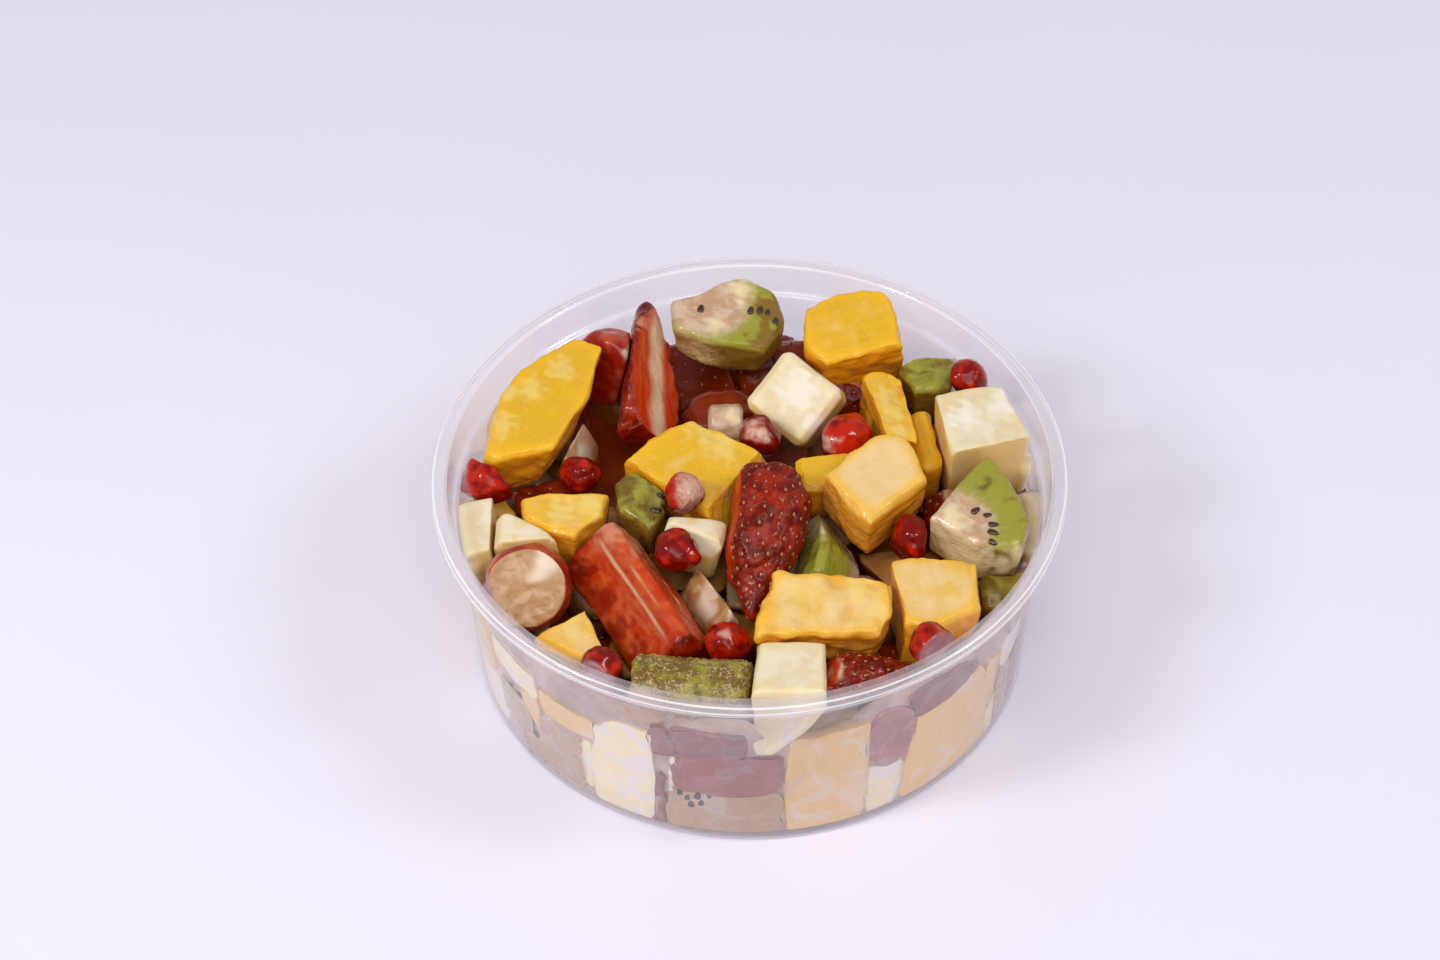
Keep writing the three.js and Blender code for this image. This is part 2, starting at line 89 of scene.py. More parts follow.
WAVE_COUNT, WAVE_SPREAD, WAVE_GAIN = 12, (0.65, 1.6), 2.4


def unit(vectors):
    """The vectors at length one."""
    return vectors / np.maximum(np.linalg.norm(vectors, axis=-1, keepdims=True), 1e-9)


def ramp(low, high, values):
    """0 up to low, 1 from high, with a smooth step between."""
    t = np.clip((values - low) / (high - low), 0, 1)
    return t * t * (3 - 2 * t)


def away(points, x=0, y=0):
    """How far points lie from (x, y), or from the tub's axis, seen from above."""
    return np.hypot(points[:, 0] - x, points[:, 1] - y)


def waves(points, size, seed, stretch=(1, 1, 1)):
    """Soft bumps of about -1 to 1: the mean of sine waves in random directions, near size mm long."""
    draw = np.random.default_rng(seed)
    ways = unit(draw.normal(size=(WAVE_COUNT, 3))).T
    ways = ways * (2 * math.pi / (size * draw.uniform(*WAVE_SPREAD, WAVE_COUNT)))
    starts = draw.uniform(0, 2 * math.pi, WAVE_COUNT)
    return np.sin((points / np.array(stretch)) @ ways + starts).mean(1) * WAVE_GAIN


def bumps(points, seed, *layers):
    """The sum of several waves, each layer a height and a wavelength in mm."""
    return sum(height * waves(points, size, seed + k) for k, (height, size) in enumerate(layers))


def turned(*turns):
    """Rows are a piece's own axes after turns in degrees about z, then its own y, then its own x."""
    z, y, x = (Matrix.Rotation(math.radians(angle), 3, axis) for angle, axis in zip(turns, "ZYX"))
    return np.array(z @ y @ x).T


LOOK = np.array([0, math.cos(CAMERA_DOWN), -math.sin(CAMERA_DOWN)])
LEVEL_RIGHT, LEVEL_UP = np.array([1, 0, 0]), np.array([0, math.sin(CAMERA_DOWN), math.cos(CAMERA_DOWN)])
RIGHT = math.cos(CAMERA_ROLL) * LEVEL_RIGHT + math.sin(CAMERA_ROLL) * LEVEL_UP
UP = math.cos(CAMERA_ROLL) * LEVEL_UP - math.sin(CAMERA_ROLL) * LEVEL_RIGHT


def in_picture(points):
    """Where points fall in the picture: along each picture axis, focal length * offset / depth."""
    offset = points - CAMERA_AT
    scale = LENS / SENSOR * PICTURE[0] / (offset @ LOOK)
    return np.stack([PICTURE[0] / 2 + scale * (offset @ RIGHT), PICTURE[1] / 2 - scale * (offset @ UP)], -1)


def make_piece(name, points, faces, material, slot, marks=None, replaces=()):
    """A smooth mesh at the origin from points in mm and arrays of faces; marks are numbers at its points."""
    mesh = bpy.data.meshes.new(name)
    corners = np.concatenate([rows.ravel() for rows in faces]).astype(np.int32)
    sizes = np.concatenate([np.full(len(rows), rows.shape[1]) for rows in faces])
    mesh.vertices.add(len(points))
    mesh.vertices.foreach_set("co", (points * MM).astype(np.float32).ravel())
    mesh.loops.add(len(corners))
    mesh.loops.foreach_set("vertex_index", corners)
    mesh.polygons.add(len(sizes))
    mesh.polygons.foreach_set("loop_start", (np.cumsum(sizes) - sizes).astype(np.int32))
    mesh.update(calc_edges=True)
    mesh.shade_smooth()
    for mark, values in (marks or {}).items():
        layer = mesh.attributes.new(mark, "FLOAT", "POINT")
        layer.data.foreach_set("value", np.asarray(values, np.float32))
    mesh.materials.append(material)
    piece = bpy.data.objects.new(name, mesh)
    bpy.context.scene.collection.objects.link(piece)
    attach(piece, "root")
    if replaces:
        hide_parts(*replaces)


def joined(shapes):
    """Several shapes (points, quads, marks) as one."""
    starts = np.cumsum([0] + [len(points) for points, _, _ in shapes])
    points = np.concatenate([points for points, _, _ in shapes])
    quads = np.concatenate([quads + start for (_, quads, _), start in zip(shapes, starts)])
    marks = {mark: np.concatenate([marks[mark] for _, _, marks in shapes]) for mark in shapes[0][2]}
    return points, quads, marks


# ---- convex forms with rounded edges

# Each point x inside a form has normals . x <= offsets; axes (rows) and half are its own box.
Form = namedtuple("Form", "normals offsets middle axes half")

CROWDING = 0.4  # how much closer the lines of a grid lie near a cube's edges
EDGE_VARIES, EDGE_PATCH = 0.5, 8  # how much the crispness of an edge varies, and over how many mm
EDGE_BAND = 15  # the power that marks what lies beside an edge
ROUND_FORM, SOFT_EDGE = 32, 18  # a form with more faces than this and softer edges keeps its mean size
ROUND_NODE = 45  # a node with more faces than this is round
LEAST_AREA = 0.02  # mm2; smaller triangles don't say which way a face looks
SAME_WAY, SAME_PLANE = 0.9995, 0.05  # triangles of one face: the cosine between them, and mm apart
EASE = 0.16  # a block's cut edges, as a share of its least size
LEAST_LEFT, LEAST_DEPTH = 0.12, 0.35  # what a cut has to leave: a share of the form, and mm behind each face
PRESS_GAP = 0.25  # mm between pressed pieces


@functools.cache
def cube_grid(steps):
    """A grid over a cube's six sides, closer near the edges, and its quads, joined along the edges."""
    t = np.linspace(-1, 1, steps + 1)
    t = (1 - CROWDING) * t + CROWDING * np.sin(t * math.pi / 2)
    u, v = np.meshgrid(t, t, indexing="ij")
    cell = (np.arange(steps)[:, None] * (steps + 1) + np.arange(steps)).ravel()
    quad = np.stack([cell, cell + steps + 1, cell + steps + 2, cell + 1], -1)
    points, quads = [], []
    for axis in range(3):
        for sign in (-1, 1):
            side = np.empty((u.size, 3))
            side[:, axis] = sign
            side[:, (axis + 1) % 3] = sign * u.ravel()
            side[:, (axis + 2) % 3] = v.ravel()
            quads.append(quad + len(points) * u.size)
            points.append(side)
    merged, index = np.unique(np.round(np.concatenate(points), 6), axis=0, return_inverse=True)
    return merged, index.ravel()[np.concatenate(quads)]


def surface(form, steps, edge, seed=None):
    """The form with rounded edges, as points, normals, quads and a mark that is 1 along the edges.

    Along a direction D from the middle the surface lies at D / g(D), where g is the edge-th root of the sum
    over the faces of (normal . D / the face's distance) to the power edge. A high edge keeps it crisp; with
    a seed it varies from place to place. Soft round forms keep their mean size.
    """
    grid, quads = cube_grid(steps)
    ways = (grid * form.half) @ form.axes
    distance = form.offsets - form.normals @ form.middle
    share = np.maximum(ways @ form.normals.T / distance, 1e-9)
    most = share.max(1, keepdims=True)
    if seed is not None:
        edge = edge * np.exp(EDGE_VARIES * waves(ways, EDGE_PATCH, seed + 7))[:, None]
    part = (share / most) ** edge
    rounding = part.sum(1, keepdims=True) ** (1 / edge)
    if len(form.normals) > ROUND_FORM and np.mean(edge) < SOFT_EDGE:
        rounding = rounding / rounding.mean()
    points = form.middle + ways / (most * rounding)
    beside_edge = np.minimum(((share / most) ** EDGE_BAND).sum(1) - 1, 1)
    return points, unit((part / share / distance) @ form.normals), quads, beside_edge


def outline_of(form):
    """Points all over a form, close to its true corners."""
    return surface(form, 8, 60)[0]


def form_of(node):
    """The form of a node: its flat faces, the middle of its volume, and its box along its largest faces."""
    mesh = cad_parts[node].data
    mesh.calc_loop_triangles()
    corners = np.array([vertex.co for vertex in mesh.vertices], float) / MM
    index = np.array([triangle.vertices for triangle in mesh.loop_triangles])
    a, b, c = (corners[index[:, k]] for k in range(3))
    cross = np.cross(b - a, c - a)
    area = np.linalg.norm(cross, axis=1) / 2
    volume = (a * np.cross(b, c)).sum(1)
    middle = ((a + b + c) * volume[:, None]).sum(0) / 4 / volume.sum()
    normals, offsets, areas = [], [], []
    for i in np.argsort(-area):
        if area[i] < LEAST_AREA:
            break
        normal, offset = cross[i] / area[i] / 2, cross[i] @ a[i] / area[i] / 2
        for k, known in enumerate(normals):
            if normal @ known > SAME_WAY and abs(offset - offsets[k]) < SAME_PLANE:
                areas[k] += area[i]
                break
        else:
            normals.append(normal)
            offsets.append(offset)
            areas.append(area[i])
    normals, offsets, areas = np.array(normals), np.array(offsets), np.array(areas)
    if len(normals) > ROUND_NODE:  # its own box is along its spread
        axes = np.linalg.svd(corners - corners.mean(0), full_matrices=False)[2]
    else:
        first = normals[areas.argmax()]
        second = normals[(areas * (abs(normals @ first) < 0.5)).argmax()]
        second = unit(second - (second @ first) * first)
        axes = np.array([first, second, np.cross(first, second)])
    if np.linalg.det(axes) < 0:
        axes[2] *= -1
    along = (corners - middle) @ axes.T
    return Form(normals, offsets, middle, axes, abs(along).max(0))


def box_form(at, size, turn):
    """A block with eased edges: six faces, and one across each edge."""
    axes, half = turned(*turn), np.array(size) / 2
    cut = EASE * min(size)
    ways = [np.array(w, float) for w in np.ndindex(3, 3, 3)]
    ways = [w - 1 for w in ways if 0 < abs(w - 1).sum() < 3]
    distance = [(abs(w) @ half - (cut if abs(w).sum() == 2 else 0)) / np.linalg.norm(w) for w in ways]
    normals = unit(np.array(ways)) @ axes
    return Form(normals, np.array(distance) + normals @ np.array(at), np.array(at, float), axes, half)


def cut_off(form, normal, offset):
    """The form behind a plane, about its new middle; None if too little of it is left."""
    points = outline_of(form)
    kept = points[points @ normal <= offset]
    if len(kept) < LEAST_LEFT * len(points):
        return None
    normals, offsets = np.vstack([form.normals, normal]), np.append(form.offsets, offset)
    edge_points = points - np.maximum(points @ normal - offset, 0)[:, None] * normal
    middle = np.concatenate([kept, edge_points]).mean(0)
    if (offsets - normals @ middle).min() < LEAST_DEPTH:
        return None
    return Form(normals, offsets, middle, form.axes, form.half)


def press(soft, firm, firm_outline):
    """A soft form flattened on a firm one, on the face that costs it least."""
    ways = np.vstack([firm.normals, -soft.normals])
    level = (firm_outline @ ways.T).max(0) + PRESS_GAP
    depth = level - (outline_of(soft) @ ways.T).min(0)
    best = depth.argmin()
    return soft if depth[best] <= 0 else cut_off(soft, -ways[best], -level[best])


# ---- tables of the pieces

# Where the pale core of a kiwi runs past a piece: a point of it and its direction.
KIWI_CORES = dict(
    kiwi_1=((-7, 45.4, 44), (0, 0, 1)), kiwi_2=((-9, -2, 34), (0.1, 1, 0)),
    kiwi_3=((24, -6, 30), (0.2, 1, 0.3)), kiwi_4=((37.5, -13.5, 42), (0, 0, 1)),
    kiwi_5=((37, 32, 24), (1, 0.4, 0)), kiwi_6=((-10, -42, 24), (1, -0.1, 0)),
    kiwi_7=((-4, 21, 34), (1, 0.3, 0.2)), kiwi_8=((46, -20, 20), (1, 0, 0)),
    kiwi_9=((-6, -44, 0), (1, 0.1, 0.1)), kiwi_10=((-30, -30, 14), (1, 1, 0)),
)
# Which way the cut faces of a strawberry or grape look; the rest of the piece is skin.
CUT_FACES = dict(
    strawberry_1=[(0.82, -0.16, 0.55)], strawberry_2=[(-0.96, 0.04, 0.27)],
    strawberry_3=[(0.75, 0.42, 0.5), (0.4, 0.25, 0.88), (0, 0, 1), (-0.4, -0.2, 0.88), (-0.8, -0.4, 0.3)],
    strawberry_4=[(-0.5, -0.2, 0.8)], strawberry_5=[(0, 0.3, 1)], strawberry_6=[(0.3, 0, 1)],
    strawberry_7=[(0, -1, 0)], strawberry_8=[(-0.3, -0.6, 0.7)], grape_3=[(0, -0.707, 0.707)],
)
# How wide a strawberry's pale core is on its cut faces, in mm, and how far that lies from its middle.
CORE_WIDTH = 1.4
CORE_WIDTHS = dict(strawberry_1=1.5, strawberry_2=0, strawberry_3=0.05, strawberry_7=0, strawberry_8=0)
CORE_PLACES = {"strawberry_3": (2.6, 2.3, 0)}
SMOOTH_BERRIES = ("strawberry_1", "strawberry_3", "strawberry_7")  # skin without seeds where it shows
# Pieces without any skin, and where a grape's pale core lies from its middle.
PEELED = ("grape_2", "grape_4")
GRAPE_CORES = {"grape_3": (2.8, 3.1, 3.1)}
# Where the pale seed shows through an aril's flesh: the way that side looks, and how wide it is, 0 to 1.
ARIL_SEEDS = dict(
    aril_1=((-0.25, -0.45, 0.8), 0.28), aril_2=((-0.65, -0.5, 0.4), 0.2), aril_4=((0.45, -0.45, 0.7), 0.6),
)
# How pale a piece is against the rest of its kind, from -1 to 1 or a little more.
TONES = dict(
    mango_1=-0.5, mango_2=-0.4, mango_3=1.0, mango_4=-0.2, mango_5=-0.5, mango_6=-0.2, mango_7=-1.0,
    mango_8=0.5, mango_9=0.4, mango_10=0.2, mango_11=0.1, mango_12=0.3, mango_13=0.3,
    strawberry_1=-0.2, strawberry_3=0.7, kiwi_1=1.7, kiwi_2=-0.6, kiwi_3=0.5, kiwi_4=0.9, kiwi_5=-0.4,
    kiwi_6=-1.0, kiwi_8=-0.5, aril_1=-0.5, aril_2=0.8, aril_4=1.0, aril_5=0.3, aril_6=-0.5, aril_7=-0.5,
    aril_8=0.1, aril_9=0.3, aril_11=0.5,
)
# How deep the strokes of the knife or brush are on a piece's faces, in mm.
RIDGES = dict(mango_8=0.42, mango_2=0.15, mango_10=0.12, kiwi_6=0.3, pear_7=0.12)

HOLLOWS = [(-26, 24, 14), (-5, 35, 13)]  # x, y and radius of the open places that go deep down; packed pieces near them get painted dark shade
# Paler places on single pieces, partly pale flesh and partly painted highlights and glints, each a pixel of
# PICTURE and a reach in pixels.
PALE_AND_HIGHLIGHT_SPOTS = dict(
    kiwi_4=[(952, 521, 15), (967, 548, 10), (985, 558, 11), (1004, 566, 12), (1016, 556, 10)],
    kiwi_1=[(743, 287, 12), (716, 326, 9)], kiwi_7=[(735, 415, 9)],
    strawberry_3=[(612, 530, 17), (640, 545, 11)], strawberry_1=[(643, 323, 6)], grape_1=[(630, 354, 7)],
    grape_2=[(708, 592, 9)], aril_1=[(753, 423, 4), (760, 432, 4)], aril_2=[(826, 438, 4)],
    aril_4=[(690, 486, 8)], aril_9=[(725, 634, 5)], kiwi_3=[(815, 525, 12)],
    mango_1=[(532, 388, 12), (508, 392, 9), (503, 425, 12), (560, 368, 12)],
    mango_4=[(702, 425, 16), (724, 446, 14)], mango_6=[(884, 395, 9), (892, 414, 10), (899, 432, 9)],
    mango_8=[(802, 590, 12), (860, 585, 14), (880, 612, 10)],
    mango_10=[(600, 604, 12), (612, 628, 12), (570, 618, 14)], pear_5=[(480, 560, 13)],
    mango_11=[(560, 512, 14), (590, 505, 12)], pear_1=[(797, 388, 20), (815, 425, 14)],
    pear_3=[(965, 415, 14), (1005, 400, 16)],
)
# Places painted with the same brown or orange shade as a piece's sides, given in the same way.
PAINTED_SHADE_SPOTS = dict(
    kiwi_1=[(776, 312, 24), (770, 340, 20), (680, 352, 14)],
    strawberry_3=[(580, 570, 16), (600, 600, 16), (622, 630, 16), (640, 655, 14)],
    mango_1=[(520, 484, 22), (550, 474, 20)], mango_3=[(905, 535, 14)], mango_6=[(905, 392, 8)],
)
PAINTED_DARK_IN_HOLLOW = ("grape_5",)  # pieces down in a hollow, painted as dark as its shade
FACES_LIT = ("mango_10", "pear_4")  # pieces with only a third of the painted side shade, whose front faces are nearly as pale as their top

# How crisp the edges are, as surface() takes it, for each kind and for single pieces.
EDGE = dict(mango=44, pear=50, kiwi=30, strawberry=20, grape=15, aril=13)
EDGE |= dict(kiwi_1=36, kiwi_3=36, kiwi_4=38, strawberry_3=40, grape_2=30, grape_3=46)
# About how many mm lie between a mesh's points.
GRAIN = dict(mango=0.4, pear=0.5, kiwi=0.42, strawberry=0.36, grape=0.45, aril=0.35)
LEAST_STEPS, MOST_STEPS, PACKED_STEPS = 14, 54, 13  # of the grid on a piece
SLOTS = {kind: kind + "_flesh" for kind in EDGE if "_" not in kind} | {"aril": "aril_skin"}

# ---- the marks on each piece

NEAR_WALL = (-2.2, -1.0)  # mm past the wall's inside, from clear of it to on it
DEEP_SHADE_HEIGHTS = (25, 35)  # mm, from full painted dark shade low in the heap to none
SEAT = 0.12  # mm that pressed fruit sits in the plastic's inner skin
SEED_SEAT = 0.14


def spots(points, places):
    """1 at the given places, with uneven edges."""
    seen = in_picture(points)
    pale = np.zeros(len(points))
    for u, v, reach in places:
        off = away(seen, u, v) / reach + 0.5 * waves(points, 2.2, 5)
        pale = np.maximum(pale, 1 - ramp(0.4, 1.4, off))
    return pale


def common_marks(points, normals, tone, name):
    """wall is 1 where a surface lies on the wall; elsewhere side is 1 where it faces down or sideways and
    low where it lies deep between others, both masks of painted shade; pale marks paler places and
    painted highlights; tone is the piece's own paleness."""
    radius = away(points)
    near = ramp(*NEAR_WALL, radius - inside_radius(points[:, 2]))
    outward = (normals[:, :2] * points[:, :2]).sum(1) / np.maximum(radius, 1)
    side = (1 - ramp(-0.3, 0.8, normals[:, 2])) * (1 - near) * (0.3 if name in FACES_LIT else 1)
    low = 1 - ramp(*DEEP_SHADE_HEIGHTS, points[:, 2] + 1.5 * waves(points, 9, 77))
    # painted shade: a piece down in a hollow is as dark as the hollow's shade
    if name in PAINTED_DARK_IN_HOLLOW:
        low[:] = 1
    # painted shade: packed pieces near a hollow are dark
    if not name:
        for x, y, reach in HOLLOWS:
            low = np.maximum(low, 1 - ramp(reach - 3, reach + 2, away(points, x, y)))
    low *= 1 - near
    wall = near * ramp(0.2, 0.7, outward)
    # paler places, partly painted highlights and glints
    pale = spots(points, PALE_AND_HIGHLIGHT_SPOTS.get(name, []))
    # painted shade spots, as dark as the sides
    side = np.maximum(side, spots(points, PAINTED_SHADE_SPOTS.get(name, [])))
    return {"side": side, "low": low, "wall": wall, "pale": pale, "tone": np.full(len(points), tone)}


def against_wall(points, middle, seed):
    """Moves what lies within a millimetre of the wall out to just inside the plastic, where it spreads."""
    out = unit(points[:, :2])
    apart = points - middle
    apart[:, :2] -= (apart[:, :2] * out).sum(1)[:, None] * out
    pressed = ramp(-3.0, -1.2, away(points) - inside_radius(points[:, 2]))
    pressed *= ramp(1.5, 5, points[:, 2]) * (1 - ramp(33, 36, points[:, 2]))
    spread = pressed * (0.75 + 0.4 * waves(points, 6, seed + 8))
    x, y, z = (points + spread[:, None] * unit(apart)).T
    radius = np.hypot(x, y)
    wall = inside_radius(z) + SEAT
    share = ramp(-1.9, -1.0, radius - wall) * ramp(1.2, 2.2, z) * (1 - ramp(36.8, LEDGE_HEIGHT, z))
    factor = 1 + share * (wall - radius) / np.maximum(radius, 1)
    return np.stack([x * factor, y * factor, z], -1)


def cut_mark(normals, cuts):
    """1 where the surface faces as one of the cut faces does, 0 on the skin."""
    if not cuts:
        return np.zeros(len(normals))
    return ramp(0.86, 0.95, (normals @ unit(np.array(cuts, float)).T).max(1))


def spread_over(points, among, spacing, seed):
    """Indices of points at least spacing apart, taken in a random order."""
    order = np.random.default_rng(seed).permutation(among)
    chosen = []
    while len(order):
        chosen.append(order[0])
        far = ((points[order] - points[order[0]]) ** 2).sum(1) > spacing**2
        order = order[far]
    return np.array(chosen, int)


# ---- the relief of each fruit: heights in mm over a rounded form, and the marks only it has

RAY_COUNT, RAY_DISTANCE, RAY_WIDTH = 34, 8, 3.5  # ridges round a kiwi's core, where, and over what width
PIT_DEPTH, PIT_WIDTH = 0.36, 0.45  # under a strawberry's seeds
SEED_SPACING, PACKED_SEED_SPACING = 1.9, 2.6

ACHENES = []  # places, outward ways and long way for each strawberry's seeds
PIPS = []  # places, outward ways and pointing ways of kiwi seeds


def lengthened(form, times):
    """The stretch for waves that run along a form's longest side."""
    return np.where(np.arange(3) == form.half.argmax(), times, 1.0)


def mango(form, points, normals, edge, seed, name):
    """Uneven faces, soft dents, strokes across and fine fibres along the longest side."""
    own = (points - form.middle) @ form.axes.T
    relief = bumps(points, seed, (0.32, 15), (0.19, 5))
    relief += 0.09 * waves(own, 1.9, seed + 2, lengthened(form, 5)) + 0.05 * waves(points, 1.3, seed + 3)
    strokes = RIDGES.get(name, 0.04) * waves(points, 3.4, seed + 4, (1, 2.2, 1))
    return relief + strokes - 0.2, {"groove": ramp(0.05, 0.35, -strokes), "edge": edge}


def pear(form, points, normals, edge, seed, name):
    """Flat, clean-cut faces with a fine grain."""
    relief = bumps(points, seed, (0.2, 14), (0.04, 2.6))
    relief += RIDGES.get(name, 0) * waves(points, 3.0, seed + 4)
    return relief - 0.12, {"edge": edge}


def kiwi(form, points, normals, edge, seed, name):
    """Fine ridges that run out from the core; out is the distance from it in mm, around the angle."""
    draw = np.random.default_rng(seed)
    if name in KIWI_CORES:
        core, way = (np.array(v, float) for v in KIWI_CORES[name])
    else:
        core = form.middle + unit(draw.normal(size=3)) * draw.uniform(5, 11)
        way = draw.normal(size=3)
    way = unit(way)
    across = unit(np.cross(way, [0.3, 1, 0.2]))
    offset = (points - core) - ((points - core) @ way)[:, None] * way
    out = np.linalg.norm(offset, axis=1)
    around = np.arctan2(offset @ np.cross(way, across), offset @ across)
    ring = np.exp(-(((out - RAY_DISTANCE) / RAY_WIDTH) ** 2))
    rays = np.sin(around * RAY_COUNT + 2 * waves(points, 6, seed + 5)) * ring
    relief = bumps(points, seed, (0.3, 12), (0.1, 3.5)) + 0.05 * rays
    relief += (0.04 + 0.5 * RIDGES.get(name, 0)) * waves(points, 1.4, seed + 2)
    return relief - 0.1, {"out": out, "around": around}


def strawberry(form, points, normals, edge, seed, name):
    """Skin with a pit under each seed, and cut faces with rays from the pale core; core is 1 on the axis."""
    draw = np.random.default_rng(seed)
    cut = cut_mark(normals, CUT_FACES.get(name, [unit(draw.normal(size=3))]))
    long_way = form.axes[form.half.argmax()]
    offset = points - form.middle - np.array(CORE_PLACES.get(name, (0, 0, 0)))
    along = offset @ long_way
    flat = offset - along[:, None] * long_way
    flat -= (flat * normals).sum(1)[:, None] * normals
    width = CORE_WIDTHS.get(name, CORE_WIDTH)
    aside = np.linalg.norm(flat, axis=1) + 0.35 * width * waves(points, 5, seed + 4)
    core = 1 - ramp(0.3 * width, 0.5 + 1.8 * width, aside) if width else np.zeros(len(points))
    core *= 1 - ramp(0.55, 0.9, abs(along) / form.half.max())
    streak = waves(offset @ form.axes.T, 1.7, seed + 6, lengthened(form, 6))
    relief = bumps(points, seed, (0.28, 11), (0.1, 3))
    relief += 0.05 * waves(points, 1.4, seed + 3) + 0.05 * streak * cut
    if name not in SMOOTH_BERRIES:
        spacing = SEED_SPACING if name else PACKED_SEED_SPACING
        seeds = spread_over(points, np.flatnonzero(cut < 0.3), spacing, seed + 2)
        for place in points[seeds]:
            relief -= PIT_DEPTH * np.exp(-((points - place) ** 2).sum(1) / (2 * PIT_WIDTH**2))
        lifted = normals[seeds] * (relief[seeds, None] + 0.1)
        ACHENES.append((points[seeds] + lifted, normals[seeds], long_way))
    return relief - 0.05, {"cut": cut, "core": core, "streak": 0.5 + 0.5 * streak, "edge": edge}


def grape(form, points, normals, edge, seed, name):
    """A taut smooth skin, and a cut face with a pale middle; core is 1 at the cut face's middle."""
    cut = np.ones(len(points)) if name in PEELED else cut_mark(normals, CUT_FACES.get(name, []))
    off = points - form.middle - np.array(GRAPE_CORES.get(name, (0, 0, 0)))
    flat = np.linalg.norm(off - (off * normals).sum(1)[:, None] * normals, axis=1)
    core = 1 - ramp(1.2, 3.8, flat + 1.4 * waves(points, 5, seed + 2))
    relief = 0.16 * waves(points, 9, seed) + cut * 0.07 * waves(points, 2.2, seed + 1)
    return relief - 0.05, {"cut": cut, "core": core}


def aril(form, points, normals, edge, seed, name):
    """A plump grain with soft facets; seed is 1 where the pale seed shows through."""
    relief = bumps(points, seed + 1, (0.16, 4.5), (0.05, 1.6)) - 0.15
    if name not in ARIL_SEEDS:
        return relief, {"seed": np.zeros(len(points))}
    way, width = ARIL_SEEDS[name]
    facing = normals @ unit(np.array(way, float)) + 0.1 * waves(points, 2.2, seed)
    return relief, {"seed": ramp(1.02 - width, 1.2 - 0.75 * width, facing)}


FRUITS = {"mango": mango, "pear": pear, "kiwi": kiwi, "strawberry": strawberry, "grape": grape, "aril": aril}


def fruit_shape(kind, form, steps, seed, name=""):
    """One piece's points, quads, marks and outward ways."""
    tone = TONES.get(name, float(np.random.default_rng(seed + 9).uniform(-0.5, 0.5)))
    points, normals, quads, edge = surface(form, steps, EDGE.get(name, EDGE[kind]), seed)
    relief, marks = FRUITS[kind](form, points, normals, edge, seed, name)
    points = points + normals * relief[:, None]
    marks |= common_marks(points, normals, tone, name)
    return against_wall(points, form.middle, seed), quads, marks, normals


# ---- materials


def linear(colour):
    """An sRGB hex colour as linear red, green and blue, and an alpha of one."""
    parts = [int(colour[i : i + 2], 16) / 255 for i in (1, 3, 5)]
    return [c / 12.92 if c <= 0.04045 else ((c + 0.055) / 1.055) ** 2.4 for c in parts] + [1.0]


class Nodes:
    """A new material's node tree; each method adds nodes to it and gives back their result."""

    def __init__(self, name):
        self.material = bpy.data.materials.new(name)
        self.material.use_nodes = True
        self.tree = self.material.node_tree
        self.tree.nodes.clear()

    def add(self, kind, inputs=None, **settings):
        """One shader node with its settings; inputs are values or the sockets that feed them."""
        node = self.tree.nodes.new("ShaderNode" + kind)
        for key, value in settings.items():
            setattr(node, key, value)
        for key, value in (inputs or {}).items():
            if isinstance(value, bpy.types.NodeSocket):
                self.tree.links.new(value, node.inputs[key])
            else:
                node.inputs[key].default_value = value
        return node

    def mark(self, name, factor=None):
        """The value of one of the mesh's marks, or that times a factor."""
        value = self.add("Attribute", attribute_name=name).outputs["Fac"]
        return value if factor is None else self.blend(value, factor)

    def maths(self, operation, *values):
        """The result of one operation on values."""
        return self.add("Math", dict(enumerate(values)), operation=operation).outputs[0]

    def blend(self, value, factor, added=0.0):
        """value * factor + added."""
        return self.maths("MULTIPLY_ADD", value, factor, added)

    def mix(self, share, first, second):
        """A colour between two, each an sRGB hex value or a socket."""
        first, second = (linear(c) if isinstance(c, str) else c for c in (first, second))
        return self.add("Mix", {0: share, 6: first, 7: second}, data_type="RGBA").outputs[2]

    def step(self, value, low, high, to_low=0.0, to_high=1.0):
        """A value from low to high spread over to_low to to_high with a soft step."""
        span = {"Value": value, "From Min": low, "From Max": high, "To Min": to_low, "To Max": to_high}
        return self.add("MapRange", span, interpolation_type="SMOOTHSTEP").outputs["Result"]

    def noise(self, size, detail=3.0, distortion=0.0, **more):
        """Soft noise with features of about size mm, around 0.5."""
        place = self.add("TexCoord").outputs["Object"]
        span = {"Vector": place, "Scale": 1 / (size * MM), "Detail": detail, "Distortion": distortion, **more}
        return self.add("TexNoise", span).outputs["Fac"]

    def with_painted_shade(self, colour, low, high, share, shade):
        """A colour with a painted shade colour mixed over it, up to share, where the surface faces sideways
        or down.
        """
        return self.mix(self.step(self.mark("side"), low, high, 0, share), colour, shade)

    def finish(self, shader, output="BSDF"):
        """The material, with a shader as its surface."""
        self.add("OutputMaterial", {"Surface": shader.outputs[output]})
        return self.material


# How a fruit is finished: grain and depth of its bumps in mm, roughness, weight of its wet coat, how much
# light goes into it and how that is tinted, mirror level, its paler colour on the wall as painted light and
# the share of that, how much more lilac painted sheen shows there, and the colour of its pale places and
# painted highlights.
Finish = namedtuple("Finish", "grain depth rough coat glow tint mirror pressed pressed_share loose pale")
# painted shade colour deep between pieces, and lilac painted sheen for fruit along the wall
DEEP_SHADE_COLOUR, WALL_SHEEN_COLOUR = "#7A2A0A", "#E6E0EC"
WALL_SHEEN_SHARE = 0.12  # of lilac painted sheen, also where the fruit touches the plastic
SMOOTHER, ROUGHER = 0.08, 0.1  # how far the roughness goes either way


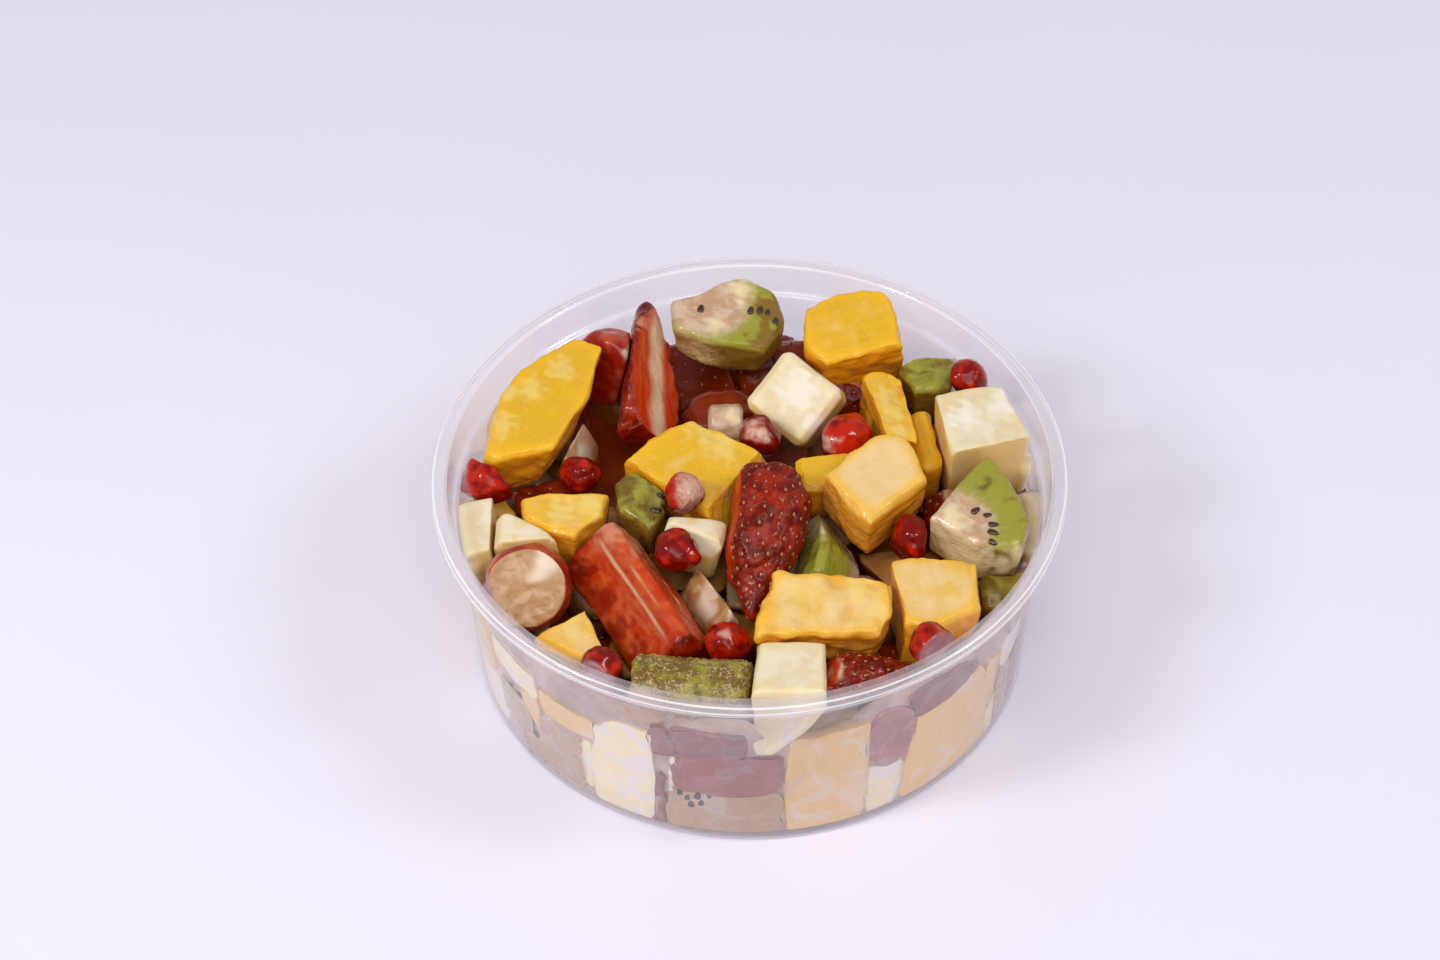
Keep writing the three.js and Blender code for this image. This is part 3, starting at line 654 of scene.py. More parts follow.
def fruit_material(name, colour_of, finish):
    """A fruit material from its own colours, with painted dark shade between pieces and deep down, wet, with
    fine bumps.

    On the wall a paler pressed colour takes its share as painted light, and lilac patches of painted sheen
    lie over it.
    """
    n = Nodes(name)
    wall = n.mark("wall")
    # paler places, partly painted highlights and glints
    colour = n.mix(n.mark("pale", 0.7), colour_of(n), finish.pale)
    # painted shade: dark deep down in the heap and in the hollows
    colour = n.mix(n.mark("low", 0.8), colour, DEEP_SHADE_COLOUR)
    # painted light: paler pressed colour where fruit lies on the wall, under lilac patches of painted sheen
    loose = n.step(n.noise(6.5, 3, 0.9), 0.5, 0.6, WALL_SHEEN_SHARE, WALL_SHEEN_SHARE + finish.loose)
    touching = n.mix(n.blend(wall, finish.pressed_share), colour, finish.pressed)
    colour = n.mix(n.maths("MULTIPLY", wall, loose), touching, WALL_SHEEN_COLOUR)
    fine = n.noise(finish.grain, Roughness=0.6)
    bump = n.add("Bump", {"Height": fine, "Distance": finish.depth * MM, "Strength": 1.0})
    span = {"From Min": 0.35, "From Max": 0.65}
    span |= {"To Min": finish.rough - SMOOTHER, "To Max": finish.rough + ROUGHER}
    rough = n.add("MapRange", {"Value": n.noise(finish.grain * 3, 2), **span})
    settings = {"Base Color": colour, "Roughness": rough.outputs["Result"], "Normal": bump.outputs["Normal"]}
    settings |= {"IOR": 1.38, "Specular IOR Level": finish.mirror}
    settings |= {"Coat Weight": finish.coat, "Coat Roughness": 0.09, "Coat IOR": 1.34}
    settings |= {"Subsurface Weight": finish.glow, "Subsurface Radius": finish.tint}
    return n.finish(n.add("BsdfPrincipled", settings | {"Subsurface Scale": 0.003}))


def mango_colour(n):
    """Ripe mango, knife-cut: dense wet flesh, pale on some pieces and in patches, partly as painted sheen,
    and with painted orange shade where it faces sideways or down.
    """
    paleness = n.step(n.blend(n.mark("tone"), 0.45, n.noise(5, 4, 0.4)), 0.3, 0.95)
    colour = n.mix(paleness, "#E0AE18", "#E8C88C")
    colour = n.mix(n.step(n.noise(0.8, 2), 0.58, 0.72, 0, 0.25), colour, "#EFD28A")
    colour = n.mix(n.mark("edge", 0.75), colour, "#EEB41E")
    colour = n.mix(n.mark("groove", 0.55), colour, "#DC9E30")
    return n.with_painted_shade(colour, 0.15, 0.95, 0.85, "#E48E14")


def pear_colour(n):
    """Peeled pear, knife-cut: opaque cream flesh, with painted yellower shade where it faces sideways or
    down.
    """
    stain = n.step(n.noise(3.2, 4, 0.6), 0.6, 0.68, 0, 0.7)
    bloom = n.step(n.noise(7, 3, 0.5), 0.42, 0.62)
    colour = n.mix(stain, n.mix(bloom, "#DECBA2", "#E6DABE"), "#E8C67C")
    colour = n.mix(n.mark("edge", 0.4), colour, "#EBD699")
    return n.with_painted_shade(colour, 0.08, 0.8, 0.85, "#EFC676")


def kiwi_colour(n):
    """Kiwi flesh: a pale core, fine pale rays out from it, and wet olive green beyond, with painted glints on
    the darkest pieces and painted brown shade where it faces sideways or down.
    """
    out, tone, cloud = n.mark("out"), n.mark("tone"), n.noise(3.5, 3, 0.5)
    green = n.mix(n.step(n.blend(tone, 0.11, cloud), 0.28, 0.56), "#6E5814", "#989430")
    # painted glints: pale flecks on the darkest pieces
    painted_glints = n.step(n.noise(0.7, 4, 1.2), 0.54, 0.6)
    painted_glints = n.maths("MULTIPLY", painted_glints, n.step(tone, -0.5, -1.0))
    green = n.mix(n.blend(painted_glints, 0.75), green, "#C2A084")
    place = {"X": n.mark("around", 9), "Y": n.blend(out, 0.22)}
    place = n.add("CombineXYZ", place).outputs[0]
    rays = n.add("TexNoise", {"Vector": place, "Scale": 1.6, "Detail": 2.0}).outputs["Fac"]
    near = n.step(out, 6, 12, 0.5, 0)
    green = n.mix(n.maths("MULTIPLY", n.step(rays, 0.45, 0.7), near), green, "#B9A878")
    wobble = n.blend(cloud, 5, n.blend(tone, -1.5, out))
    core = n.step(wobble, 6.2, 10, 1, 0)
    haze = n.mix(n.step(n.noise(2.5), 0.4, 0.62), "#BE9876", "#CFB498")
    shade = n.mix(core, "#80581A", "#EACD90")
    return n.with_painted_shade(n.mix(core, green, haze), 0.2, 0.95, 0.85, shade)


def strawberry_colour(n):
    """Strawberry: glossy dark red skin with painted glints, and orange-red cut flesh with pale rays round its
    core, with painted dark red shade where it faces sideways or down.
    """
    cloud = n.noise(4, 4, 0.6)
    skin = n.mix(n.step(cloud, 0.4, 0.64), "#600B02", "#942209")
    # painted glints: pale flecks on the skin
    painted_glints = n.step(n.noise(0.8, 3, 1.5), 0.57, 0.65, 0, 0.4)
    skin = n.mix(painted_glints, skin, "#A85E3C")
    pink = n.step(n.blend(n.mark("tone"), 0.12, cloud), 0.5, 0.8)
    streaks = n.step(n.mark("streak"), 0.45, 0.95, 0, 0.45)
    inner = n.mix(streaks, n.mix(pink, "#C2380C", "#CC5E2A"), "#CC6C42")
    inner = n.mix(n.mark("edge", 0.5), inner, "#9A1404")
    inner = n.mix(n.mark("core"), inner, "#DCB894")
    return n.with_painted_shade(n.mix(n.mark("cut"), skin, inner), 0.3, 1, 0.7, "#7C0A01")


def grape_colour(n):
    """Red grape: a thin red-tan skin over glassy tan flesh, pale at the middle of a cut, with painted dark
    shade where it faces sideways or down.
    """
    skin = n.mix(n.step(n.noise(5), 0.42, 0.64), "#8E1406", "#B4482A")
    pulp = n.mix(n.step(n.noise(3.5, 3, 0.8), 0.44, 0.62), "#AC7E4C", "#C29A74")
    inner = n.mix(n.mark("core"), pulp, "#E2CDB4")
    return n.with_painted_shade(n.mix(n.mark("cut"), skin, inner), 0.4, 1, 0.75, "#8A3214")


def aril_colour(n):
    """Pomegranate aril: glassy red juice under a taut skin, with the pale seed showing where it is near, and
    painted dark shade where it faces sideways or down.
    """
    lifted = n.blend(n.mark("tone"), 0.2, n.noise(2.6, 2))
    juice = n.mix(n.step(lifted, 0.4, 0.7), "#740801", "#B82208")
    pale = n.mix(n.step(n.noise(0.6, 3), 0.3, 0.7), "#B4735C", "#CCA48E")
    return n.with_painted_shade(n.mix(n.mark("seed"), juice, pale), 0.35, 1, 0.8, "#5E0601")


def core_colour(n):
    """Juice-soaked fruit deep in the tub: dark red-brown inside, partly as painted shade of the deep gaps,
    and a lighter tan, partly painted light, where it lies along the wall.
    """
    inside = n.mix(n.noise(7), "#741E05", "#943A0C")
    beside = n.mix(n.step(n.noise(8), 0.4, 0.6), "#A07C6E", "#CBA98E")
    return n.mix(n.mark("side"), inside, beside)


def seed_material(name, dark, light, roughness):
    """A hard small seed, smooth and wet, with a slightly uneven colour."""
    n = Nodes(name)
    colour = n.mix(n.noise(0.7, 2), dark, light)
    wet = {"Roughness": roughness, "IOR": 1.5, "Coat Weight": 0.6, "Coat Roughness": 0.1}
    return n.finish(n.add("BsdfPrincipled", {"Base Color": colour, **wet}))


def tub_material():
    """Clear polypropylene, thin and thermoformed: see-through with a milky haze, and glossy.

    Each of the wall's two skins lets most of the light past and turns a little of it milky, unevenly. Seen
    at a slant a skin mirrors more and the plastic looks darker, since the light goes further in it.
    """
    n = Nodes("clear_polypropylene")
    haze = n.step(n.noise(9, 4, 0.8), 0.38, 0.64, 0.07, 0.125)
    # painted highlight lines: milkier rings along the rim's edges; the base corner is milkier, partly painted
    # light
    haze = n.maths("MAXIMUM", haze, n.mark("bead"))
    slant = n.add("LayerWeight", {"Blend": 0.5}).outputs["Facing"]
    steep = n.mix(n.maths("POWER", slant, 14), "#FEFDFE", "#D2C9C6")
    clear = n.add("BsdfTransparent", {"Color": steep}).outputs["BSDF"]
    milk = {"Base Color": linear("#F8F4F5"), "Roughness": 0.6, "Specular IOR Level": 0.0}
    milky = n.add("BsdfPrincipled", milk).outputs["BSDF"]
    mixed = n.add("MixShader", {0: haze, 1: clear, 2: milky}).outputs["Shader"]
    fine = n.add("Bump", {"Height": n.noise(6, 2), "Distance": 0.08 * MM}).outputs["Normal"]
    gloss = n.add("BsdfAnisotropic", {"Color": linear("#FFFFFF"), "Roughness": 0.05, "Normal": fine})
    share = n.blend(n.maths("POWER", slant, 5), 0.9, 0.035)
    return n.finish(n.add("MixShader", {0: share, 1: mixed, 2: gloss.outputs["BSDF"]}), "Shader")


def floor_material():
    """Matt white card with a cool cast and a faint mottle."""
    n = Nodes("matt_card")
    colour = n.mix(n.noise(60, 4), "#E4E1EC", "#E7E4EF")
    matt = {"Base Color": colour, "Roughness": 0.85, "Specular IOR Level": 0.2}
    return n.finish(n.add("BsdfPrincipled", matt))


LOOKS = {
    "mango": ("mango_flesh_cut", mango_colour, Finish(
        0.6, 0.14, 0.36, 0.35, 0.12, (1, 0.45, 0.1), 0.5, "#F0CC98", 0.35, 0.3, "#EACB70")),
    "pear": ("pear_flesh_cut", pear_colour, Finish(
        0.5, 0.07, 0.38, 0.35, 0.15, (1, 0.8, 0.4), 0.5, "#FFEFBE", 0.6, 0.6, "#F1E9D8")),
    "kiwi": ("kiwi_flesh_cut", kiwi_colour, Finish(
        0.7, 0.2, 0.28, 0.6, 0.12, (0.8, 0.7, 0.2), 0.4, "#BA9070", 0.8, 0.15, "#EEDCAE")),
    "strawberry": ("strawberry_skin_and_flesh", strawberry_colour, Finish(
        0.8, 0.14, 0.28, 0.3, 0.08, (1, 0.2, 0.06), 0.2, "#8A5048", 0.75, 0.06, "#D0906C")),
    "grape": ("grape_skin_and_flesh", grape_colour, Finish(
        1.2, 0.06, 0.24, 0.5, 0.25, (1, 0.5, 0.3), 0.3, "#9A6A5C", 0.6, 0.15, "#E6D4BE")),
    "aril": ("aril_glassy_skin", aril_colour, Finish(
        2, 0.05, 0.12, 0.5, 0.12, (1, 0.2, 0.06), 0.2, "#8A5048", 0.4, 0.1, "#D2AC96")),
    "core": ("soaked_and_shaded_fruit", core_colour, Finish(
        1.5, 0.2, 0.35, 0.4, 0, (1, 1, 1), 0.3, "#B89080", 0.3, 0.1, "#B89080")),
}
MATERIALS = {kind: fruit_material(*look) for kind, look in LOOKS.items()}

# ---- the pieces that have a node of their own

# Where single kiwi seeds lie, as pixels of PICTURE; each sits on the piece that the line of sight meets.
SEEDS_SEEN = dict(
    kiwi_1=[(701, 308), (751, 309), (759, 309), (768, 313), (776, 321)],
    kiwi_2=[(661, 496), (663, 507), (656, 510)],
    kiwi_4=[(976, 512), (987, 514), (993, 523), (994, 532), (993, 543)],
    kiwi_9=[(679, 791), (688, 797), (697, 796), (700, 803), (690, 804), (708, 793)], kiwi_10=[(563, 694)],
)
SEEDLESS = ("kiwi_3", "kiwi_6", "kiwi_7")
SEED_WAYS = {"kiwi_1": (0.2, 1, 0.3)}  # which way a piece's seeds point, if not away from its core
SEED_RING, SEED_RING_WIDTH, PIP_SPACING = 7.6, 0.9, 2.8  # mm from the core on the other pieces, and apart


def kiwi_seeds(name, points, normals, marks):
    """Seeds at the given places of a piece, or a few in a ring round the core, each pointing away from it."""
    seen = in_picture(points)
    turned_away = 1e3 * (normals @ LOOK > 0)
    chosen = [(away(seen, u, v) + turned_away).argmin() for u, v in SEEDS_SEEN.get(name, [])]
    if name not in SEEDS_SEEN and name not in SEEDLESS:
        in_ring = abs(marks["out"] - SEED_RING) < SEED_RING_WIDTH
        chosen = spread_over(points, np.flatnonzero(in_ring & (marks["wall"] < 0.1)), PIP_SPACING, 5)
    chosen = np.array(chosen, int)
    if len(chosen):
        ways = out_way(points, marks, chosen) if name not in SEED_WAYS else np.array([SEED_WAYS[name]])
        PIPS.append((points[chosen], normals[chosen], ways))


def out_way(points, marks, chosen):
    """Which way lies away from the core at the chosen points: the slope of the marked distance."""
    ways = []
    for i in chosen:
        around = ((points - points[i]) ** 2).sum(1).argsort()[:24]
        rise = marks["out"][around] - marks["out"][i]
        ways.append(np.linalg.lstsq(points[around] - points[i], rise, rcond=None)[0])
    return unit(np.array(ways))


forms = {}
for number, node in enumerate(sorted(set(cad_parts) - {"tub", "heap"})):
    kind = node.split("_")[0]
    forms[node] = form_of(node)
    steps = int(np.clip(2 * forms[node].half.mean() / GRAIN[kind], LEAST_STEPS, MOST_STEPS))
    points, quads, marks, normals = fruit_shape(kind, forms[node], steps, 100 + 20 * number, node)
    make_piece(node + "_piece", points, [quads], MATERIALS[kind], SLOTS[kind], marks, [node])
    if kind == "kiwi":
        kiwi_seeds(node, points, normals, marks)

# ---- the packed fruit

# Small bits that show between the named pieces: kind, middle, size, turn about z.
BITS = [
    ("strawberry", (9.8, 43.5, 34), (9, 9, 10), 10),
    ("pear", (13.5, 2.1, 32), (9, 8, 8), 20),
    ("strawberry", (-8, 0, 31), (10, 8, 8), -20),
    ("strawberry", (24.5, -36, 32), (9, 12, 9), 10),
    ("kiwi", (-21.1, -31.5, 28.5), (9, 9, 8), 30),
    ("strawberry", (-38.8, 6.2, 31.5), (12, 8, 8), 15),
    ("mango", (-43.1, 1.3, 33), (8, 7, 7), 0),
    ("strawberry", (44.9, -23.5, 28), (9, 9, 9), 30),
    ("kiwi", (-44.1, -29.6, 12), (9, 9, 8), -40),
    ("strawberry", (-7.8, -48, 27.6), (12.5, 10, 6.6), -8),
    ("pear", (20.2, 28.7, 35.5), (7, 8, 9), -36),
    ("pear", (-42.3, -30.6, 11), (10, 11, 17), -144),
    ("pear", (50.3, -2, 28.5), (7, 14, 8), -3),
]
WALL_RING = 46.8  # middle radius of the pieces along the wall
LAYERS = ((7.5, 13, (WALL_RING,)), (19.5, 12.5, (WALL_RING,)), (27, 10, (0, 14.5, 29.5, 44.5)))
RING_STEP = 13.5  # about how far apart the pieces of a ring lie
FILLER_HEIGHTS, FILLERS_IN_RING = (13.5, 24.5, 4.5, 18.5), 30  # smaller pieces in the gaps along the wall
FILLER_RING = WALL_RING + 1.7
KINDS = ("mango", "pear", "kiwi", "strawberry", "grape")
KIND_SHARES = (0.42, 0.2, 0.17, 0.14, 0.07)
HEAP_TOP = 31.0
HOLLOW_FLOOR = 24  # pieces with their middle above this don't lie in a hollow


def keep_in_tub(form):
    """A form flattened on the wall, the rounded corner and the floor of the tub; None if nothing is left."""
    bearing = math.degrees(math.atan2(form.middle[1], form.middle[0]))
    planes = [((0, 0, -1), -FLOOR), ((0, 0, 1), HEAP_TOP)]
    corner_reach = (BASE_RADIUS - 2 * BASE_ROUNDING) * math.sqrt(0.5) + BASE_ROUNDING - WALL
    for turn in range(-36, 37, 9):
        angle = math.radians(bearing + turn)
        x, y = math.cos(angle), math.sin(angle)
        planes.append(((x, y, -WALL_SLOPE), inside_radius(0)))
        planes.append(((x * math.sqrt(0.5), y * math.sqrt(0.5), -math.sqrt(0.5)), corner_reach))
    for normal, offset in planes:
        length = np.linalg.norm(normal)
        normal = np.array(normal) / length
        if form is not None and (outline_of(form) @ normal).max() > offset / length:
            form = cut_off(form, normal, offset / length)
    return form


def ring(draw, radius, height, count, sway, rise, sizes, turns):
    """Kind, middle, size and turn of each piece in a ring.

    Each moves by up to sway of its place along the ring and rise mm in height. Each size is between two
    limits times a factor, and each turn is up to a most in degrees times a factor.
    """
    for k in range(count):
        angle = 2 * math.pi * (k + draw.uniform(-sway, sway)) / count
        at = (radius * math.cos(angle), radius * math.sin(angle), height + draw.uniform(-1, 1) * rise)
        size = [draw.uniform(low, high) * factor for low, high, factor in sizes]
        turn = [draw.uniform(-most, most) * factor for most, factor in turns]
        turn[0] += math.degrees(angle)
        yield draw.choice(KINDS, p=KIND_SHARES), at, size, turn


def packed_fruit():
    """Pieces in rings and layers, each turned and sized at random and pressed on all that lie there."""
    draw = np.random.default_rng(11)
    wanted = [(kind, at, size, (turn, 0, 0)) for kind, at, size, turn in BITS]
    for height, thickness, radii in LAYERS:
        for radius in radii[::-1]:
            rise, loose = (3, 0.6) if radius == WALL_RING else (1.5, 1)  # the wall holds them straighter
            count = max(1, round(2 * math.pi * radius / RING_STEP))
            sizes = ((13, 19, 1), (13.5, 20, 1), (1.0, 1.4, thickness))
            turns = ((35, loose), (20, loose), (20, loose))
            wanted += ring(draw, radius, height, count, 0.2, rise, sizes, turns)
    for height in FILLER_HEIGHTS:
        wanted += ring(draw, FILLER_RING, height, FILLERS_IN_RING, 0.3, 2, ((10, 14, 1),) * 3, ((30, 1),) * 3)
    firm = [(form, outline_of(form)) for form in forms.values()]
    packed = []
    for kind, at, size, turn in wanted:
        in_hollow = any(math.hypot(at[0] - x, at[1] - y) < radius for x, y, radius in HOLLOWS)
        if in_hollow and at[2] > HOLLOW_FLOOR:
            continue
        soft = keep_in_tub(box_form(at, size, turn))
        for other, outline in firm:
            if soft is None:
                break
            apart = np.linalg.norm(soft.middle - other.middle)
            if apart < np.linalg.norm(soft.half) + np.linalg.norm(other.half):
                soft = press(soft, other, outline)
        if soft is not None:
            firm.append((soft, outline_of(soft)))
            packed.append((kind, soft))
    return packed


# Radius and height from the core's underside round to the middle of its top.
CORE_PROFILE = [(0, 1.4), (48, 1.4), (49, 0.8), (51.7, 0.8), (52.4, 1.4), (52.6, 10), (53.4, 29)]
CORE_PROFILE = np.array(CORE_PROFILE + [(52, 30), (47, 23), (36, 21.5), (0, 21)])
CORE_RINGS, CORE_SIDES = 60, 90
CORE_DENTS = np.array([0.004, 0.004, 0.03])  # across and down, against the distance from the origin


def core_shape():
    """A lumpy round body behind the outer pieces: radius and height follow a profile, with waves added."""
    step = np.linspace(0, len(CORE_PROFILE) - 1, CORE_RINGS)
    radius, height = (np.interp(step, range(len(CORE_PROFILE)), CORE_PROFILE[:, k]) for k in (0, 1))
    angle = np.arange(CORE_SIDES) * 2 * math.pi / CORE_SIDES
    flat = np.stack([np.outer(radius, np.cos(angle)), np.outer(radius, np.sin(angle))], -1)
    front = ramp(0.2, 0.6, -np.sin(angle))  # it lies higher at the front, but not behind pear_4
    front *= 1 - np.exp(-(((angle - math.radians(281)) / math.radians(10)) ** 4))
    uneven = 2.2 * waves(np.stack([53 * np.cos(angle), 53 * np.sin(angle), 0 * angle], -1), 17, 31) - 2.4
    height = height[:, None] + (uneven * (1 - front) + 4 * front) * ramp(26, 29, height)[:, None]
    points = np.concatenate([flat, height[:, :, None]], -1)[1:-1].reshape(-1, 3)
    points = points - np.abs(waves(points, 9, 3))[:, None] * CORE_DENTS * points
    # Along the wall the core takes its lighter tan, partly painted light; elsewhere its dark colour is itself
    # painted shade.
    beside = np.append(ramp(49.6, 50.8, away(points)), [0, 0])
    marks = {"side": beside, "wall": beside, "low": np.zeros(len(points) + 2)}
    bottom, top = ((0, 0, CORE_PROFILE[k, 1]) for k in (0, -1))
    return *turned_faces(points, CORE_SIDES, bottom, top), marks


def turned_faces(points, sides, first, last):
    """Closes rings of points about z with a point at each end: quads between rings, triangles at the ends."""
    count = len(points) // sides
    around = np.arange(sides)
    after = (around + 1) % sides
    start = sides * np.arange(count - 1)[:, None]
    quads = [start + around, start + after, start + sides + after, start + sides + around]
    base, bottom, top = (count - 1) * sides, np.full(sides, len(points)), np.full(sides, len(points) + 1)
    ends = [(after, around, bottom), (base + around, base + after, top)]
    faces = [np.stack(quads, -1).reshape(-1, 4), np.concatenate([np.stack(end, -1) for end in ends])]
    return np.vstack([points, first, last]), faces


shapes = {kind: [] for kind in KINDS}
for number, (kind, form) in enumerate(packed_fruit()):
    points, quads, marks, normals = fruit_shape(kind, form, PACKED_STEPS, 3000 + 20 * number)
    shapes[kind].append((points, quads, marks))
    if kind == "kiwi":
        kiwi_seeds("", points, normals, marks)
for kind, parts in shapes.items():
    points, quads, marks = joined(parts)
    make_piece("packed_" + kind, points, [quads], MATERIALS[kind], SLOTS[kind], marks)
points, faces, marks = core_shape()
make_piece("packed_core", points, faces, MATERIALS["core"], "packed_fruit", marks, ["heap"])

# ---- seeds

POINTED = 0.35


def seeds_mesh(groups, size, steps):
    """A drop-shaped grain at each place, flat side down, its long way along the surface, none past the wall.

    The grain is a rounded cube grid made round, drawn to a point at one end: width * (1 - POINTED * along).
    """
    grid, quads = cube_grid(steps)
    along, across, up = unit(grid).T
    grain = np.stack([along, across * (1 - POINTED * along), up], -1) * np.array(size) / 2
    shapes = []
    draw = np.random.default_rng(21)
    for places, normals, ways in groups:
        ways = np.broadcast_to(ways, normals.shape)
        along = unit(ways - (ways * normals).sum(1)[:, None] * normals + 1e-6)
        for place, *axes in zip(places, along, np.cross(normals, along), normals):
            scale = draw.uniform(0.85, 1.15)
            shapes.append((place + scale * grain @ np.array(axes), quads, {}))
    points, quads, _ = joined(shapes)
    x, y, z = points.T
    within = np.minimum(1, (inside_radius(z) + SEED_SEAT) / np.hypot(x, y))
    factor = np.where(z < LEDGE_HEIGHT, within, 1)
    return np.stack([x * factor, y * factor, z], -1), [quads]


points, faces = seeds_mesh(PIPS, (2.1, 1.25, 0.8), 3)
coat = seed_material("kiwi_seed_coat", "#2A1206", "#45260F", 0.3)
make_piece("kiwi_seeds", points, faces, coat, "kiwi_flesh")
points, faces = seeds_mesh(ACHENES, (0.85, 0.5, 0.36), 2)
coat = seed_material("strawberry_seed_coat", "#8C4C26", "#B67E48", 0.4)
make_piece("strawberry_seeds", points, faces, coat, "strawberry_flesh")

# ---- the tub

TUB_SIDES = 200
EASING, EASING_STEPS = 0.45, 5  # mm of the profile's rounded corners
BEAD_WIDTH, BEAD_HAZE, CORNER_HAZE = 0.22, 0.8, 0.3  # the plastic is milkier along the rim's edges, as painted highlight lines, and at the base corner, partly painted light


def eased(corners):
    """A line through corners with each one rounded: a parabola from EASING before it to EASING after."""
    corners = np.array(corners, float)
    line = [corners[0]]
    for before, at, after in zip(corners, corners[1:], corners[2:]):
        back, on = before - at, after - at
        reach = min(EASING, 0.45 * np.linalg.norm(back), 0.45 * np.linalg.norm(on))
        start, end = at + unit(back) * reach, at + unit(on) * reach
        for t in np.linspace(0, 1, EASING_STEPS):
            line.append((1 - t) ** 2 * start + 2 * t * (1 - t) * at + t**2 * end)
    line.append(corners[-1])
    return np.array(line)


def tub_shell():
    """The tub as one turned shell: up the outside, over the rim and down the inside to the floor."""
    lip, inner_rim = RIM_RADIUS - WALL, RIM_RADIUS - RIM_WIDTH
    centre, foot = BASE_RADIUS - BASE_ROUNDING, BASE_RADIUS - BASE_ROUNDING - FOOT_WIDTH
    ledge = inside_radius(LEDGE_HEIGHT)
    bend = [(math.sin(a), math.cos(a)) for a in np.linspace(0, math.pi / 2, 9)]
    up = [(0.5, FOOT_HEIGHT), (foot - FOOT_HEIGHT, FOOT_HEIGHT), (foot, 0), (centre - 0.01, 0)]
    up += [(centre + BASE_ROUNDING * s, BASE_ROUNDING * (1 - c)) for s, c in bend]
    up += [(inside_radius(z) + WALL, z) for z in np.linspace(3, LEDGE_HEIGHT - 1.2, 9)]
    up += [(ledge + WALL + 0.1, LEDGE_HEIGHT - 0.6), (ledge + WALL + LEDGE_WIDTH, LEDGE_HEIGHT)]
    # The rim, as its radius and mm below the top: under the skirt, over the top and back inside.
    rim = [(inner_rim + WALL - 0.1, 2.0), (inner_rim + WALL, 1.2), (lip - 0.15, 1.1), (lip, RIM_SKIRT)]
    rim += [(RIM_RADIUS, RIM_SKIRT), (RIM_RADIUS, 1.5), (RIM_RADIUS - 0.12, 1.3), (RIM_RADIUS, 0.35)]
    rim += [(lip - 0.05, 0), (lip - 0.6, 0.3), (inner_rim + 1.2, 0.35), (inner_rim + 0.5, 0)]
    rim += [(inner_rim, 0.4), (inner_rim - 0.15, 1.6)]
    up += [(radius, TUB_HEIGHT - below) for radius, below in rim]
    down = [(ledge + LEDGE_WIDTH, LEDGE_HEIGHT + 0.3), (ledge, LEDGE_HEIGHT - 0.3)]
    down += [(inside_radius(z), z) for z in np.linspace(LEDGE_HEIGHT - 1.5, 3, 9)]
    tight = BASE_ROUNDING - WALL
    down += [(centre + tight * s, BASE_ROUNDING - tight * c) for s, c in bend[::-1]]
    down += [(centre - 0.01, WALL), (foot, WALL), (foot - FOOT_HEIGHT, FLOOR), (0.5, FLOOR)]
    profile = eased(up + down)
    angle = np.arange(TUB_SIDES) * 2 * math.pi / TUB_SIDES
    level = np.stack([np.cos(angle), np.sin(angle), np.zeros(TUB_SIDES)], -1)
    rings = profile[:, 0, None, None] * level + profile[:, 1, None, None] * np.array([0, 0, 1])
    # milky rings along the rim's edges: painted highlight lines; the base corner's extra haze is partly
    # painted light
    beads = [(inner_rim, 0.3), (RIM_RADIUS - 0.4, 0.1), (RIM_RADIUS, 1.4), (RIM_RADIUS - 0.1, RIM_SKIRT)]
    beads = np.array([(radius, TUB_HEIGHT - below) for radius, below in beads])
    off = np.linalg.norm(profile[:, None] - beads, axis=2).min(1)
    bead = BEAD_HAZE * np.exp(-((off / BEAD_WIDTH) ** 2))
    corner = CORNER_HAZE * (1 - ramp(0.6, 1.8, profile[:, 1])) * (profile[:, 0] > foot)
    bead = np.append(np.repeat(np.maximum(bead, corner), TUB_SIDES), [0, 0])
    ends = (0, 0, FOOT_HEIGHT), (0, 0, FLOOR)
    return *turned_faces(rings.reshape(-1, 3), TUB_SIDES, *ends), {"bead": bead}


points, faces, marks = tub_shell()
make_piece("tub_shell", points, faces, tub_material(), "clear_tub", marks, ["tub"])

# ---- stage, light and camera

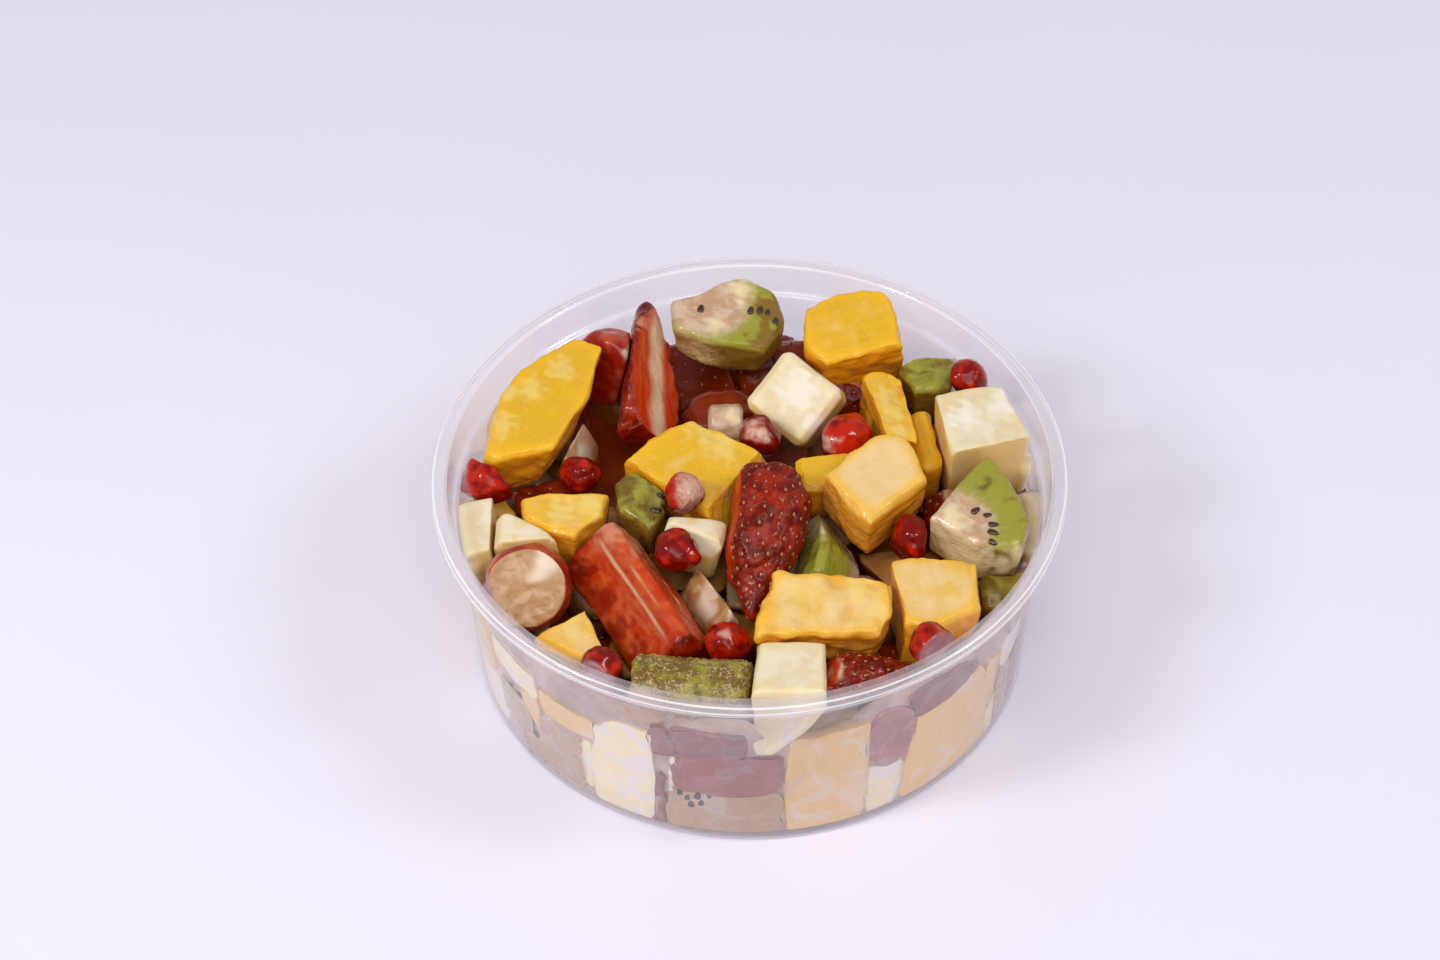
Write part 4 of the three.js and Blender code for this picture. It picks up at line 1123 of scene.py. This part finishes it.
FLOOR_HALF, FLOOR_DROP = 2.5, 2e-5  # metres; it lies a hair below the tub's foot
AIM = Vector((0, 0, 0.03))


def make_floor():
    """A wide flat card under the tub."""
    mesh = bpy.data.meshes.new("floor")
    corners = [(x * FLOOR_HALF, y * FLOOR_HALF, -FLOOR_DROP) for x, y in ((-1, -1), (1, -1), (1, 1), (-1, 1))]
    mesh.from_pydata(corners, [], [(0, 1, 2, 3)])
    mesh.materials.append(floor_material())
    floor = bpy.data.objects.new("floor", mesh)
    bpy.context.scene.collection.objects.link(floor)


def make_light(name, at, size, power):
    """A square soft white light that looks at the tub."""
    data = bpy.data.lights.new(name, "AREA")
    data.size, data.energy = size, power
    light = bpy.data.objects.new(name, data)
    light.location = at
    light.rotation_euler = (AIM - Vector(at)).to_track_quat("-Z", "Y").to_euler()
    bpy.context.scene.collection.objects.link(light)


def towards(x, y, elevation, distance):
    """A point at a distance in metres in the level direction (x, y), raised by an elevation in degrees."""
    rise = math.radians(elevation)
    out = math.cos(rise) * distance / math.hypot(x, y)
    return (x * out, y * out, math.sin(rise) * distance)


make_floor()
make_light("left_softbox", towards(-38, -19, 46, 0.75), 0.13, 2.0)
make_light("right_softbox", towards(40, -7, 47, 0.75), 0.14, 1.15)
make_light("front_softbox", (0.0, -0.9, 1.3), 1.0, 8.9)

world = bpy.data.worlds.new("white_room")
world.use_nodes = True
background = world.node_tree.nodes["Background"]
background.inputs["Color"].default_value = linear("#F6F4FA")
background.inputs["Strength"].default_value = 0.455
bpy.context.scene.world = world
bpy.context.scene.view_settings.view_transform = "Standard"

camera_data = bpy.data.cameras.new("camera")
camera_data.lens, camera_data.sensor_width = LENS, SENSOR
camera = bpy.data.objects.new("camera", camera_data)
tilt = Matrix.Rotation(math.pi / 2 - CAMERA_DOWN, 4, "X") @ Matrix.Rotation(CAMERA_ROLL, 4, "Z")
camera.matrix_world = Matrix.Translation(Vector(CAMERA_AT * MM)) @ tilt
bpy.context.scene.collection.objects.link(camera)
bpy.context.scene.camera = camera
